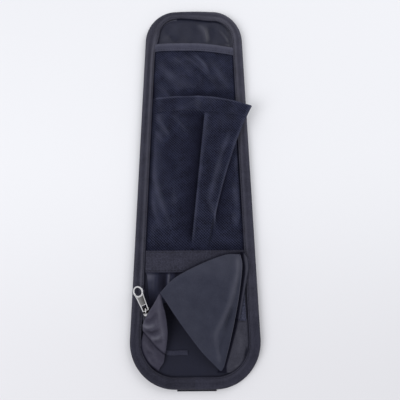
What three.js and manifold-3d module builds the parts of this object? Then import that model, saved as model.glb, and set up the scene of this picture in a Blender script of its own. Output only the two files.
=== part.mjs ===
// A side organizer for a car seat: a long, flat, tapering board wrapped in cloth, with an edge binding,
// two mesh pockets and a limp zipped pouch at its wide end. It lies on its back. X runs across, Y runs
// towards the narrow upper end, Z points up, and the origin is on the underside of the back strap.
import * as THREE from 'three';
import Module from 'manifold-3d';

// The outline, seen from the front
const LENGTH = 453;
const BOTTOM_END = -225.5;
const BOTTOM_WIDTH = 141.4;
const TOP_WIDTH = 120;
const BOTTOM_CORNER = 48.7;
const TOP_CORNER_ACROSS = 38;
const TOP_CORNER_ALONG = 44;
const TOP_CROWN = 0.8;

// Thickness of each material, and the gap between layers
const WEBBING = 1.2;
const TAPE = 0.8;
const CLOTH = 0.6;
const BOARD = 1.5;
const GAP = 0.3;

// The layers
const STRAP_WIDTH = 41;
const STRAP_CENTRE = 1.4;
const STRAP_REACH = 2.3;
const STRAP_TOP_MARGIN = 28;
const BINDING_WIDTH = 12.6;
const BOARD_INSET = 6;
const TUCK = 4;

// The pockets
const TOP_PANEL_HEIGHT = 51.5;
const TRIM_WIDTH = 10.6;
const TRIM_TILT = 0.052;
const TRIM_RISE = 5.5;
const MIDDLE_POCKET_HEIGHT = 185;
const HEM_DROP = 16;
const POCKET_DEPTH = 8.5;
const FOLD_SWING = 68;
const FOLD_HEIGHT = 2.8;
const BAND_WIDTH = 24;
const POUCH_HEIGHT = 120;
const POUCH_DEPTH = 20;
const SEAM_TAPE_LENGTH = 22.5;
const SEAM_TAPE_WIDTH = 4.6;

// The zip
const ZIP_TAPE_WIDTH = 3.4;
const COIL_WIDTH = 2;
const COIL_HEIGHT = 1.4;
const COIL_BEHIND = 6.5;
const COIL_AHEAD = 18.5;
const ZIP_TAPE_END = 5;
const SLIDER_LENGTH = 9.4;
const SLIDER_WIDTH = 7.2;
const SLIDER_PLATE = 0.8;
const SLIDER_AXIS = THREE.MathUtils.degToRad(95);
const ARCH_WIDTH = 1.2;
const ARCH_WINDOW = 3.4;
const ARCH_CLEAR = 2.4;
const ARCH_BAR = 0.9;
const ARCH_LEG = 1;
const PULL_AXIS = THREE.MathUtils.degToRad(115);
const PULL_REACH = 27.9;
const PULL_THICKNESS = 1.3;
const PULL_RING_WIDTH = 9.4;
const PULL_ROOT_WIDTH = 6;
const PULL_SLOT_WIDTH = 3.6;
const PULL_SLOT_LENGTH = 3.4;
const PULL_HOLE = [6, 7.4];

// Levels of the layers, from the surface that the strap lies on
const lowerLip = [WEBBING + GAP, WEBBING + GAP + TAPE];
const coverLevel = [lowerLip[1] + GAP, lowerLip[1] + GAP + CLOTH];
const boardLevel = [coverLevel[1] + GAP, coverLevel[1] + GAP + BOARD];
const liningLevel = [boardLevel[1] + GAP, boardLevel[1] + GAP + CLOTH];
const TUCKED = liningLevel[1] + GAP + CLOTH / 2;
const upperLip = [TUCKED + CLOTH / 2 + GAP, TUCKED + CLOTH / 2 + GAP + TAPE];
const ON_LIP = upperLip[1] + GAP + CLOTH / 2;

const TOP_END = BOTTOM_END + LENGTH;
const taper = (BOTTOM_WIDTH - TOP_WIDTH) / 2 / LENGTH;
const sideAt = (y) => BOTTOM_WIDTH / 2 - taper * (y - BOTTOM_END);

const MATERIALS = {
  binding: { color: 0x3a3a44, roughness: 0.85, metalness: 0 },
  nylon: { color: 0x2f313e, roughness: 0.45, metalness: 0 },
  mesh: { color: 0x282b39, roughness: 0.8, metalness: 0 },
  satin: { color: 0x3b3b47, roughness: 0.5, metalness: 0 },
  oxford: { color: 0x383844, roughness: 0.75, metalness: 0 },
  board: { color: 0x8a8378, roughness: 0.9, metalness: 0 },
  webbing: { color: 0x34343d, roughness: 0.85, metalness: 0 },
  coil: { color: 0x22222a, roughness: 0.5, metalness: 0 },
  metal: { color: 0xb9b6b2, roughness: 0.3, metalness: 1 },
};

const organizer = new THREE.Group();

function add(name, material, geometry, parent = organizer) {
  const mesh = new THREE.Mesh(geometry, new THREE.MeshStandardMaterial(MATERIALS[material]));
  mesh.name = name;
  parent.add(mesh);
  return mesh;
}

// The right half of the outline, from the middle of the bottom edge to the middle of the top edge
function outlineHalf() {
  const points = [];
  const cornerX = sideAt(BOTTOM_END + BOTTOM_CORNER) - BOTTOM_CORNER;
  const cornerY = BOTTOM_END + BOTTOM_CORNER;
  const cornerSteps = 10;
  points.push([0, BOTTOM_END], [cornerX / 2, BOTTOM_END]);
  for (let i = 0; i <= cornerSteps; i++) {
    const a = -Math.PI / 2 + (Math.PI / 2) * (i / cornerSteps);
    points.push([cornerX + BOTTOM_CORNER * Math.cos(a), cornerY + BOTTOM_CORNER * Math.sin(a)]);
  }
  const topY = TOP_END - TOP_CROWN - TOP_CORNER_ALONG;
  const sideSteps = 5;
  for (let i = 1; i < sideSteps; i++) {
    const y = THREE.MathUtils.lerp(cornerY, topY, i / sideSteps);
    points.push([sideAt(y), y]);
  }
  const topX = sideAt(topY) - TOP_CORNER_ACROSS;
  for (let i = 0; i <= cornerSteps; i++) {
    const a = (Math.PI / 2) * (i / cornerSteps);
    points.push([topX + TOP_CORNER_ACROSS * Math.cos(a), topY + TOP_CORNER_ALONG * Math.sin(a)]);
  }
  points.push([topX / 2, TOP_END - TOP_CROWN / 4], [0, TOP_END]);
  return points;
}

// The whole outline, counterclockwise, with the outward direction at each point
function outline() {
  const half = outlineHalf();
  const mirrored = half.slice(1, -1).reverse().map(([x, y]) => [-x, y]);
  const points = [...half, ...mirrored].map(([x, y]) => new THREE.Vector2(x, y));
  return points.map((point, i) => {
    const before = points[(i + points.length - 1) % points.length];
    const after = points[(i + 1) % points.length];
    const along = after.clone().sub(before).normalize();
    return { point, outward: new THREE.Vector2(along.y, -along.x) };
  });
}

function insetOutline(inset) {
  return outline().map(({ point, outward }) => point.clone().addScaledVector(outward, -inset));
}

function flatPanel(inset, [bottom, top]) {
  const shape = new THREE.Shape(insetOutline(inset));
  const geometry = new THREE.ExtrudeGeometry(shape, { depth: top - bottom, bevelEnabled: false });
  return geometry.translate(0, 0, bottom);
}

function box([x0, x1], [y0, y1], [z0, z1]) {
  const geometry = new THREE.BoxGeometry(x1 - x0, y1 - y0, z1 - z0);
  return geometry.translate((x0 + x1) / 2, (y0 + y1) / 2, (z0 + z1) / 2);
}

// Half the width between the binding's inner edges at a height, round the bottom corners too
function innerEdge(y) {
  const straight = sideAt(y) - BINDING_WIDTH;
  const below = BOTTOM_END + BOTTOM_CORNER - y;
  if (below <= 0) return straight;
  const radius = BOTTOM_CORNER - BINDING_WIDTH;
  const centre = sideAt(BOTTOM_END + BOTTOM_CORNER) - BOTTOM_CORNER;
  return centre + Math.sqrt(Math.max(radius * radius - below * below, 0));
}

function closedGeometry(vertices, triangles) {
  const geometry = new THREE.BufferGeometry();
  geometry.setAttribute('position', new THREE.Float32BufferAttribute(vertices.flat(), 3));
  geometry.setIndex(triangles.flat());
  return geometry;
}

// A closed section carried round the outline. Each section point is [distance inwards, level].
function ring(section) {
  const path = outline();
  const n = section.length;
  const vertices = [];
  const triangles = [];
  path.forEach(({ point, outward }, i) => {
    section.forEach(([inwards, level], j) => {
      vertices.push([point.x - outward.x * inwards, point.y - outward.y * inwards, level]);
      const next = (i + 1) % path.length;
      const k = (j + 1) % n;
      triangles.push([i * n + j, next * n + k, next * n + j], [i * n + j, i * n + k, next * n + k]);
    });
  });
  return closedGeometry(vertices, triangles);
}

function sampleCurve(points, count) {
  const curve = new THREE.CatmullRomCurve3(points, false, 'catmullrom', 0.5);
  return Array.from({ length: count }, (_, i) => curve.getPoint(i / (count - 1)));
}

// A finer grid through a grid of points chosen by hand
function refine(rows, rowCount, columnCount) {
  const wide = rows.map((row) => sampleCurve(row.map((p) => new THREE.Vector3(...p)), columnCount));
  const columns = wide[0].map((_, c) => sampleCurve(wide.map((row) => row[c]), rowCount));
  return Array.from({ length: rowCount }, (_, r) => columns.map((column) => column[r]));
}

// Cloth of one thickness on a grid. Columns run to the right and rows run down, seen from above.
function cloth(grid, thickness = CLOTH) {
  const rows = grid.length;
  const columns = grid[0].length;
  const clampRow = (r) => Math.min(Math.max(r, 0), rows - 1);
  const clampColumn = (c) => Math.min(Math.max(c, 0), columns - 1);
  const faces = [[], []];
  grid.forEach((row, r) => row.forEach((point, c) => {
    const right = row[clampColumn(c + 1)].clone().sub(row[clampColumn(c - 1)]);
    const down = grid[clampRow(r + 1)][c].clone().sub(grid[clampRow(r - 1)][c]);
    const normal = down.cross(right).normalize();
    faces[0].push(point.clone().addScaledVector(normal, thickness / 2).toArray());
    faces[1].push(point.clone().addScaledVector(normal, -thickness / 2).toArray());
  }));
  const count = rows * columns;
  const at = (side, r, c) => side * count + r * columns + c;
  const triangles = [];
  const quad = (a, b, c, d) => triangles.push([a, b, c], [a, c, d]);
  for (let r = 0; r < rows - 1; r++) {
    for (let c = 0; c < columns - 1; c++) {
      quad(at(0, r, c), at(0, r + 1, c), at(0, r + 1, c + 1), at(0, r, c + 1));
      quad(at(1, r, c), at(1, r, c + 1), at(1, r + 1, c + 1), at(1, r + 1, c));
    }
    quad(at(0, r, 0), at(1, r, 0), at(1, r + 1, 0), at(0, r + 1, 0));
    quad(at(0, r, columns - 1), at(0, r + 1, columns - 1), at(1, r + 1, columns - 1), at(1, r, columns - 1));
  }
  for (let c = 0; c < columns - 1; c++) {
    quad(at(0, 0, c), at(0, 0, c + 1), at(1, 0, c + 1), at(1, 0, c));
    quad(at(0, rows - 1, c), at(1, rows - 1, c), at(1, rows - 1, c + 1), at(0, rows - 1, c + 1));
  }
  return closedGeometry([...faces[0], ...faces[1]], triangles);
}

// The board, its covers, the binding round its edge and the strap along its back
function buildBack() {
  const strapX = [STRAP_CENTRE - STRAP_WIDTH / 2, STRAP_CENTRE + STRAP_WIDTH / 2];
  const strapY = [BOTTOM_END - STRAP_REACH, TOP_END - STRAP_TOP_MARGIN];
  add('back_strap', 'webbing', box(strapX, strapY, [0, WEBBING]));
  add('back_cover', 'nylon', flatPanel(TAPE + GAP, coverLevel));
  add('stiffener_board', 'board', flatPanel(BOARD_INSET, boardLevel));
  add('front_lining', 'nylon', flatPanel(TAPE + GAP, liningLevel));
  const bevel = TAPE * 1.5;
  add('edge_binding', 'binding', ring([
    [BINDING_WIDTH, upperLip[0]], [BINDING_WIDTH, upperLip[1]],
    [bevel, upperLip[1]], [0, upperLip[1] - bevel], [0, lowerLip[0] + bevel], [bevel, lowerLip[0]],
    [BINDING_WIDTH, lowerLip[0]], [BINDING_WIDTH, lowerLip[1]],
    [TAPE, lowerLip[1]], [TAPE, upperLip[0]],
  ]));
}

// Middle height of the trim's lower edge across the upper pocket's mouth
const trimBottomAt = (x) => TOP_END - TOP_PANEL_HEIGHT - TRIM_WIDTH - TRIM_TILT * x;
const mouthRise = (u) => TRIM_RISE * Math.cos((u * Math.PI) / 2);
const TRIM_LEVEL = TUCKED + CLOTH + GAP;

const bandTop = BOTTOM_END + POUCH_HEIGHT + BAND_WIDTH;
const hemAt = bandTop + MIDDLE_POCKET_HEIGHT;

function buildUpperPocket() {
  const steps = [-1, -0.75, -0.5, -0.25, 0, 0.25, 0.5, 0.75, 1];
  const edge = innerEdge(TOP_END - TOP_PANEL_HEIGHT) - GAP;
  const under = trimBottomAt;
  const row = (up, reach, edgeLevel, rise) => {
    const inside = innerEdge(up(0)) - 2 * GAP + Math.min(reach, 0);
    const outside = inside + Math.max(reach, GAP);
    const point = (x, level) => new THREE.Vector3(x, up(x), level);
    const middle = steps.map((u) => point(u * inside, edgeLevel + mouthRise(u) * rise));
    return [point(-outside, edgeLevel), ...middle, point(outside, edgeLevel)];
  };
  const mesh = [
    row((x) => under(x) + TRIM_WIDTH - 2 * TAPE, -GAP, TRIM_LEVEL, 1),
    row((x) => under(x), -GAP, TRIM_LEVEL, 1),
    row((x) => under(x) - 2 * TAPE, -GAP, TUCKED + GAP, 1),
    row((x) => under(x) - TRIM_WIDTH, TUCK, TUCKED, 0.9),
    row((x) => (under(x) + hemAt) / 2, TUCK, TUCKED, 0.5),
    row(() => hemAt + TUCK, TUCK, TUCKED, 0.15),
    row(() => hemAt, -TUCK, TUCKED, 0),
    row(() => hemAt - TRIM_WIDTH, -TUCK, TUCKED, 0),
  ];
  add('upper_pocket_mesh', 'mesh', cloth(mesh));

  const leaf = CLOTH + GAP;
  const fold = [
    [0, leaf], [TRIM_WIDTH / 2, leaf], [TRIM_WIDTH - TAPE, leaf], [TRIM_WIDTH, 0],
    [TRIM_WIDTH - TAPE, -leaf], [TRIM_WIDTH / 2, -leaf], [0, -leaf],
  ];
  const trim = steps.map((u) => fold.map(([up, lift]) => {
    const x = u * edge;
    return new THREE.Vector3(x, under(x) + up, TRIM_LEVEL + mouthRise(u) + lift);
  }));
  add('upper_pocket_trim', 'binding', cloth(trim));
}

// The middle pocket's mesh: in from the left binding, over to a free fold on the right, back under it
// and down to the right binding. up runs from 0 at the bottom seam to 1 at the hem, and the cloth lies
// flat under the band before it opens.
function middlePocketRow(up) {
  const open = THREE.MathUtils.smoothstep(up, 0.03, 0.16);
  const foldX = THREE.MathUtils.lerp(innerEdge(bandTop) * 0.3, FOLD_SWING, Math.pow(up, 1.35));
  const y = THREE.MathUtils.lerp(bandTop - TUCK, hemAt, up);
  const left = -innerEdge(y);
  const right = innerEdge(y);
  const lift = POCKET_DEPTH * Math.pow(up, 0.6);
  const foldLevel = ON_LIP + FOLD_HEIGHT + lift * (0.25 + 0.75 * up);
  const nose = FOLD_HEIGHT / 2;
  const lipX = right - nose - CLOTH;
  const front = [0.08, 0.24, 0.42, 0.6, 0.78, 0.92].map((s) => {
    const level = THREE.MathUtils.lerp(TUCKED, foldLevel, Math.sqrt(s)) + lift * 0.2 * Math.sin(Math.PI * s);
    return [left + s * (foldX - left), level];
  });
  const underLevel = THREE.MathUtils.lerp(foldLevel - FOLD_HEIGHT, ON_LIP, 0.6);
  const folded = [
    [foldX - nose, foldLevel], [foldX, foldLevel - nose], [foldX - nose, foldLevel - FOLD_HEIGHT],
    [THREE.MathUtils.lerp(foldX - nose, lipX, 0.5), underLevel],
    [lipX, ON_LIP], [lipX - CLOTH, TUCKED + CLOTH],
  ];
  const opened = folded.map(([x, level], i) => {
    const flatX = THREE.MathUtils.lerp(foldX - nose, right - TUCK, i / (folded.length - 1));
    return [THREE.MathUtils.lerp(flatX, x, open), level];
  });
  const inner = [...front, ...opened].map(([x, level]) => [x, THREE.MathUtils.lerp(TUCKED, level, open)]);
  const across = [[left - TUCK, TUCKED], [left + CLOTH, TUCKED], ...inner, [right - CLOTH, TUCKED],
    [right + TUCK, TUCKED]];
  const drop = (x) => HEM_DROP * up * up * Math.pow(Math.max((x - left) / (FOLD_SWING - left), 0), 2);
  return across.map(([x, level]) => new THREE.Vector3(x, y - drop(x), level));
}

function buildMiddlePocket() {
  const stations = [1, 0.97, 0.9, 0.8, 0.7, 0.6, 0.5, 0.4, 0.3, 0.22, 0.16, 0.12, 0.08, 0.03, 0];
  add('middle_pocket_mesh', 'mesh', cloth(stations.map(middlePocketRow)));
}

// A point of the pouch, in percent: across of the inner half-width, up of the pouch's height, and level
// of its depth above the lining
function pouchPoint([across, up, level]) {
  const y = BOTTOM_END + POUCH_HEIGHT * (up / 100);
  return [innerEdge(y) * (across / 100), y, TUCKED + POUCH_DEPTH * (level / 100)];
}

function pouchCloth(name, material, rows, rowCount, columnCount) {
  const points = rows.map((row) => row.map(pouchPoint));
  return add(name, material, cloth(refine(points, rowCount, columnCount)));
}

const FRONT_PANEL = [
  [[-65.4, 80.9, 77.5], [-37.9, 93, 87.5], [3.6, 103.2, 92.5], [56.5, 112.8, 85], [89.3, 114.1, 67.5]],
  [[-54.5, 74.2, 80], [-21.5, 83.8, 92.5], [14.4, 92.1, 97.5], [54.3, 99.6, 90], [91, 103.8, 62.5]],
  [[-37.3, 62.3, 75], [-8.9, 68.8, 87.5], [21.4, 74.6, 92.5], [53.7, 79.6, 85], [83.9, 82.3, 55]],
  [[-13.2, 46.7, 60], [7.1, 51.2, 70], [30.1, 56.2, 75], [53.2, 60.4, 70], [74.9, 62.3, 45]],
  [[14.8, 30.3, 40], [25.1, 32.9, 46.5], [37.2, 35.4, 49], [49.3, 37.9, 46.5], [63.2, 39.6, 32.5]],
  [[61.1, 15.8, 8.5], [63.8, 15.5, 9], [66.2, 15.5, 9], [66.5, 16.3, 9], [65.3, 18.3, 10.5]],
];
const LEFT_GUSSET = [
  [[-66.8, 80.6, 73], [-66, 80.1, 74], [-65, 79.7, 74], [-64, 79.1, 73]],
  [[-77.1, 71.9, 64], [-71.7, 70.8, 71.5], [-65.6, 70.4, 72.5], [-59.5, 70.2, 67.5]],
  [[-85.9, 65.6, 62], [-76.4, 63.7, 69], [-65.7, 62.9, 69], [-55.4, 64.1, 62.5]],
  [[-93.9, 58.5, 55.5], [-81.4, 55.8, 61.5], [-67.2, 53.7, 58.5], [-52, 54.6, 52.5]],
  [[-96.9, 51.2, 44.5], [-84.6, 47.9, 48.5], [-68.6, 43.8, 43.5], [-50.8, 44.6, 40]],
  [[-95.6, 48.7, 38.5], [-82.9, 41.9, 29.5], [-70.2, 34.7, 22], [-57.4, 29.3, 19.5]],
];
const CORNER_GUSSET = [
  [[-95, 49.2, 32.5], [-82.5, 42.7, 24], [-70, 35.6, 17], [-58, 30, 14]],
  [[-98.7, 41.7, 18.5], [-90.7, 34.6, 19.5], [-81.2, 27.9, 18.5], [-65.9, 22.9, 15.5]],
  [[-100.3, 37.9, 12], [-96.4, 30.6, 14], [-91.3, 24.1, 14], [-81.3, 18.3, 12.5]],
  [[-101.9, 35, 10.5], [-100.4, 28.3, 10.5], [-98.7, 21.6, 10.5], [-97, 14.9, 10.5]],
];
const TOP_GUSSET = [
  [[-97, 104.6, 0], [-63.5, 104.6, 0], [-18.1, 104.6, 0], [27.2, 104.6, 0], [72.5, 104.6, 0]],
  [[-96.8, 99.5, -0.5], [-63.3, 99.5, -0.5], [-18.1, 99.5, -0.5], [27.1, 99.5, -0.5], [72.4, 99.5, -0.5]],
  [[-94.9, 97.1, 2.5], [-63.2, 97.1, 12.5], [-18.1, 97.1, 15.5], [27.1, 97.9, 14.5], [72.3, 97.9, 7.5]],
  [[-92.7, 90.4, 3.5], [-61.2, 91.2, 16.5], [-18, 92.9, 17.5], [27.1, 94.6, 16.5], [72.2, 95.4, 10]],
  [[-90.5, 81.2, 3.5], [-64.6, 82.9, 7], [-18, 87.9, 10.5], [27, 91.2, 10.5], [72.1, 92.9, 5.5]],
  [[-88.8, 62.9, 2.5], [-64.2, 71.3, 3.5], [-17.9, 81.2, 4.5], [27, 86.3, 4.5], [72, 89.6, 2.5]],
];
const RIGHT_GUSSET = [
  [[79.5, 97.9, 7.5], [88, 97.9, 10], [95.5, 97.9, 1.5], [106, 97.9, 0]],
  [[73.4, 79.6, 8.5], [85, 79.6, 11], [95.5, 79.6, 1.5], [106, 79.6, 0]],
  [[63.7, 57.1, 8.5], [79.7, 57.1, 11], [95.5, 57.1, 1.5], [106, 57.1, 0]],
  [[52.8, 37.9, 7.5], [72.2, 37.9, 10], [94, 37.9, 1.5], [106, 37.9, 0]],
  [[50.7, 22.1, 6.5], [71, 22.1, 7.5], [93, 22.1, 1.5], [106, 22.1, 0]],
  [[61.9, 13.8, 3.5], [78, 13.8, 3], [93, 13.8, 1], [106, 13.8, 0]],
];
const SIDE_FACING = [
  [[81.4, 98.8, 14.5], [88.6, 98.8, 16.5], [94.9, 98.8, 14.5]],
  [[75.2, 79.6, 15.5], [86, 79.6, 17], [95.8, 79.6, 12.5]],
  [[67.3, 57.1, 15.5], [81.4, 57.1, 16.5], [96.5, 57.1, 12]],
];
const RIGHT_ZIP_TAPE = [
  [[90.4, 117.5, 28.5], [94.9, 117.4, 29.5], [99.7, 116.7, 27.5]],
  [[93.8, 112.1, 25.5], [100.1, 112.1, 26.5], [105.6, 112.1, 24.5]],
  [[93.3, 102.9, 24.5], [100.6, 102.9, 25.5], [106.6, 102.9, 22.5]],
  [[89.2, 92.1, 24], [95.5, 92.1, 25], [100.9, 92.1, 22.5]],
  [[83.3, 80.4, 23.5], [89.6, 80.4, 24.5], [95.5, 80.4, 22.5]],
  [[74.4, 58.8, 22], [79.7, 58.6, 23], [84.3, 58.4, 22]],
];
const SEAM_TAPE_START = [-55, 32.2];
const SLIDER_PLACE = [-92.5, 65.4, 0];

function buildPouch() {
  const bandBottom = BOTTOM_END + POUCH_HEIGHT;
  const bandEdge = innerEdge(bandTop) - GAP;
  add('pouch_band', 'binding', box([-bandEdge, bandEdge], [bandBottom, bandTop], upperLip));
  pouchCloth('pouch_top_gusset', 'nylon', TOP_GUSSET, 13, 15);
  pouchCloth('pouch_front_panel', 'satin', FRONT_PANEL, 13, 11);
  pouchCloth('pouch_left_gusset', 'satin', LEFT_GUSSET, 11, 8);
  pouchCloth('pouch_corner_gusset', 'satin', CORNER_GUSSET, 8, 8);
  pouchCloth('pouch_right_gusset', 'oxford', RIGHT_GUSSET, 11, 8);
  pouchCloth('pouch_side_facing', 'binding', SIDE_FACING, 7, 5);
  const [x, y] = pouchPoint([...SEAM_TAPE_START, 0]);
  const level = [TUCKED - CLOTH / 2, TUCKED + CLOTH / 2];
  add('pouch_seam_tape', 'binding', box([x, x + SEAM_TAPE_LENGTH], [y - SEAM_TAPE_WIDTH, y], level));
}

const wasm = await Module();
wasm.setup();

// A three.js geometry as a solid, with only its positions kept and its shared corners merged
function solid(geometry) {
  const source = geometry.index ? geometry.toNonIndexed() : geometry;
  const positions = source.attributes.position;
  const corners = new Map();
  const vertices = [];
  const triangles = [];
  for (let i = 0; i < positions.count; i++) {
    const corner = [positions.getX(i), positions.getY(i), positions.getZ(i)];
    const key = corner.map((v) => v.toFixed(4)).join();
    if (!corners.has(key)) {
      corners.set(key, corners.size);
      vertices.push(...corner);
    }
    triangles.push(corners.get(key));
  }
  const vertProperties = new Float32Array(vertices);
  const triVerts = new Uint32Array(triangles);
  return new wasm.Manifold(new wasm.Mesh({ numProp: 3, vertProperties, triVerts }));
}

function united(geometries) {
  const whole = geometries.map(solid).reduce((a, b) => a.add(b)).getMesh();
  const geometry = new THREE.BufferGeometry();
  geometry.setAttribute('position', new THREE.BufferAttribute(whole.vertProperties, 3));
  geometry.setIndex(new THREE.BufferAttribute(whole.triVerts, 1));
  return geometry;
}

// Levels inside the slider, from the underside of its lower plate
const zipTapeLevel = SLIDER_PLATE + GAP + CLOTH / 2;
const coilLevel = zipTapeLevel + CLOTH / 2 + GAP;
const topPlateLevel = coilLevel + COIL_HEIGHT + GAP;
const hingeLevel = topPlateLevel + SLIDER_PLATE + ARCH_CLEAR / 2 + GAP;
const coilOffset = -(SLIDER_WIDTH / 2 - 2 * GAP - COIL_WIDTH / 2);
const archForward = SLIDER_LENGTH / 8;

// The slider: two plates joined at the nose, a flange along each side and an arch for the pull
function sliderGeometry() {
  const plate = new THREE.Shape();
  const half = SLIDER_WIDTH / 2;
  const length = SLIDER_LENGTH / 2;
  plate.moveTo(-half * 0.72, -length);
  plate.lineTo(half * 0.72, -length);
  plate.lineTo(half, -length * 0.2);
  plate.lineTo(half, length * 0.55);
  plate.quadraticCurveTo(half, length, half * 0.4, length);
  plate.lineTo(-half * 0.4, length);
  plate.quadraticCurveTo(-half, length, -half, length * 0.55);
  plate.lineTo(-half, -length * 0.2);
  plate.closePath();
  const extrude = { depth: SLIDER_PLATE, bevelEnabled: false, curveSegments: 5 };
  const bottom = new THREE.ExtrudeGeometry(plate, extrude);
  const top = new THREE.ExtrudeGeometry(plate, extrude).translate(0, 0, topPlateLevel);
  const overlap = SLIDER_PLATE / 2;
  const nose = box([-COIL_WIDTH / 4, COIL_WIDTH / 4], [length * 0.4, length * 0.9],
    [overlap, topPlateLevel + overlap]);
  const flange = (side) => {
    const x = [side * half, side * (half - GAP)].sort((a, b) => a - b);
    return box(x, [-length * 0.2, length * 0.5], [coilLevel + GAP, topPlateLevel + overlap]);
  };
  return united([bottom, top, nose, flange(-1), flange(1), archGeometry()]);
}

function archGeometry() {
  const foot = topPlateLevel + SLIDER_PLATE / 2;
  const outer = ARCH_WINDOW / 2 + ARCH_LEG;
  const top = hingeLevel + ARCH_CLEAR / 2 + ARCH_BAR;
  const arch = new THREE.Shape();
  arch.moveTo(-outer, foot);
  arch.lineTo(-ARCH_WINDOW / 2, foot);
  arch.lineTo(-ARCH_WINDOW / 2, top - ARCH_BAR);
  arch.lineTo(ARCH_WINDOW / 2, top - ARCH_BAR);
  arch.lineTo(ARCH_WINDOW / 2, foot);
  arch.lineTo(outer, foot);
  arch.lineTo(outer, top - ARCH_LEG);
  arch.lineTo(outer - ARCH_LEG, top);
  arch.lineTo(-outer + ARCH_LEG, top);
  arch.lineTo(-outer, top - ARCH_LEG);
  arch.closePath();
  const geometry = new THREE.ExtrudeGeometry(arch, { depth: ARCH_WIDTH, bevelEnabled: false });
  return geometry.rotateX(Math.PI / 2).rotateZ(Math.PI / 2).translate(-ARCH_WIDTH / 2, archForward, 0);
}

// The pull: a flat tab with a slot at its root, where the arch passes, and a ring at its end.
// It runs along +Y from its hinge, which is the origin.
function pullGeometry() {
  const root = PULL_ROOT_WIDTH / 2;
  const ring = PULL_RING_WIDTH / 2;
  const centre = PULL_REACH - ring * 1.12;
  const tab = new THREE.Shape();
  tab.moveTo(-root, -PULL_THICKNESS / 2);
  tab.lineTo(root, -PULL_THICKNESS / 2);
  tab.lineTo(root, centre - ring * 1.5);
  tab.absellipse(0, centre, ring, ring * 1.12, -Math.PI / 4, (5 * Math.PI) / 4, false);
  tab.lineTo(-root, centre - ring * 1.5);
  tab.closePath();
  const hole = new THREE.Path();
  hole.absellipse(0, centre, PULL_HOLE[0] / 2, PULL_HOLE[1] / 2, 0, 2 * Math.PI, true);
  const slot = new THREE.Path();
  const [near, far] = [PULL_THICKNESS / 2, PULL_THICKNESS / 2 + PULL_SLOT_LENGTH];
  slot.moveTo(-PULL_SLOT_WIDTH / 2, near);
  slot.lineTo(-PULL_SLOT_WIDTH / 2, far);
  slot.lineTo(PULL_SLOT_WIDTH / 2, far);
  slot.lineTo(PULL_SLOT_WIDTH / 2, near);
  slot.closePath();
  tab.holes.push(hole, slot);
  const extrude = { depth: PULL_THICKNESS, bevelEnabled: false, curveSegments: 12 };
  const geometry = new THREE.ExtrudeGeometry(tab, extrude);
  return geometry.translate(0, 0, -PULL_THICKNESS / 2);
}

function buildZip() {
  const [x, y] = pouchPoint(SLIDER_PLACE);
  const base = upperLip[1] + GAP;
  const turn = SLIDER_AXIS - Math.PI / 2;
  const zip = new THREE.Group();
  zip.position.set(x, y, base);
  zip.rotation.z = turn;
  organizer.add(zip);
  add('zip_slider', 'metal', sliderGeometry(), zip);

  const tapeRight = coilOffset + COIL_WIDTH / 2;
  const ends = [-COIL_BEHIND, COIL_AHEAD];
  const stations = [
    [ends[1] + ZIP_TAPE_END, 0], [ends[1] + ZIP_TAPE_END / 2, 0.4], [ends[1], 1], [ends[1] / 2, 1], [0, 1],
    [ends[0], 1], [ends[0] - ZIP_TAPE_END / 2, 0.4], [ends[0] - ZIP_TAPE_END, 0],
  ];
  const tape = stations.map(([along, raised]) => [1, 0.5, 0].map((across) => {
    const level = THREE.MathUtils.lerp(CLOTH / 2, zipTapeLevel, raised);
    return new THREE.Vector3(tapeRight - ZIP_TAPE_WIDTH * across, along, level);
  }));
  add('zip_tape_left', 'nylon', cloth(tape), zip);
  const coilX = [coilOffset - COIL_WIDTH / 2, coilOffset + COIL_WIDTH / 2];
  const coilZ = [coilLevel, coilLevel + COIL_HEIGHT];
  add('zip_coil_left', 'coil', box(coilX, ends, coilZ), zip);
  pouchCloth('zip_tape_right', 'nylon', RIGHT_ZIP_TAPE, 11, 4);

  const hinge = new THREE.Group();
  hinge.position.set(x - archForward * Math.sin(turn), y + archForward * Math.cos(turn), base + hingeLevel);
  const drop = hingeLevel - PULL_THICKNESS / 2 - GAP - coilLevel - COIL_HEIGHT;
  const droop = Math.atan(drop / COIL_AHEAD);
  hinge.rotation.set(-droop, 0, PULL_AXIS - Math.PI / 2, 'ZYX');
  organizer.add(hinge);
  add('zip_pull', 'metal', pullGeometry(), hinge);
}

buildBack();
buildUpperPocket();
buildMiddlePocket();
buildPouch();
buildZip();

export default organizer;
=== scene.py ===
"""A side organizer for a car seat, as it looks lying on its back on a pale table.

The outline, levels and control points are in millimetres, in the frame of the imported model: X runs
across, Y towards the narrow upper end and Z up. They become metres where a mesh is made.
"""

from __future__ import annotations

import logging
import math
from abc import ABC, abstractmethod
from dataclasses import dataclass, replace
from enum import Enum
from typing import Any, Iterable, Sequence

import bpy
import numpy as np
from mathutils import Matrix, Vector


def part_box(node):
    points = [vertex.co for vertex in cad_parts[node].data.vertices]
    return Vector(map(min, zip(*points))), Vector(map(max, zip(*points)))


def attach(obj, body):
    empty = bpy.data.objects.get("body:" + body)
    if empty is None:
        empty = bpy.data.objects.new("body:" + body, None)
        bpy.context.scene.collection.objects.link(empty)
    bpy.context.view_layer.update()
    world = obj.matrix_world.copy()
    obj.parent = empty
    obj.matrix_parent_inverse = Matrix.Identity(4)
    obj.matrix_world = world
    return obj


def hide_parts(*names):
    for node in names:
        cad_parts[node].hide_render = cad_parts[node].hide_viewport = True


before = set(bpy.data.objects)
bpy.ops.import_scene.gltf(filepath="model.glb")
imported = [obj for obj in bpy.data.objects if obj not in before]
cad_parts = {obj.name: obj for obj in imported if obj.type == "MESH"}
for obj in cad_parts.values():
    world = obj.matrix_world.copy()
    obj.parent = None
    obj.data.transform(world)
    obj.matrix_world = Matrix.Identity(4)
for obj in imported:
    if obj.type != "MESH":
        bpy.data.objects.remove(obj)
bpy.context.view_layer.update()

log = logging.getLogger("organizer")

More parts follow.
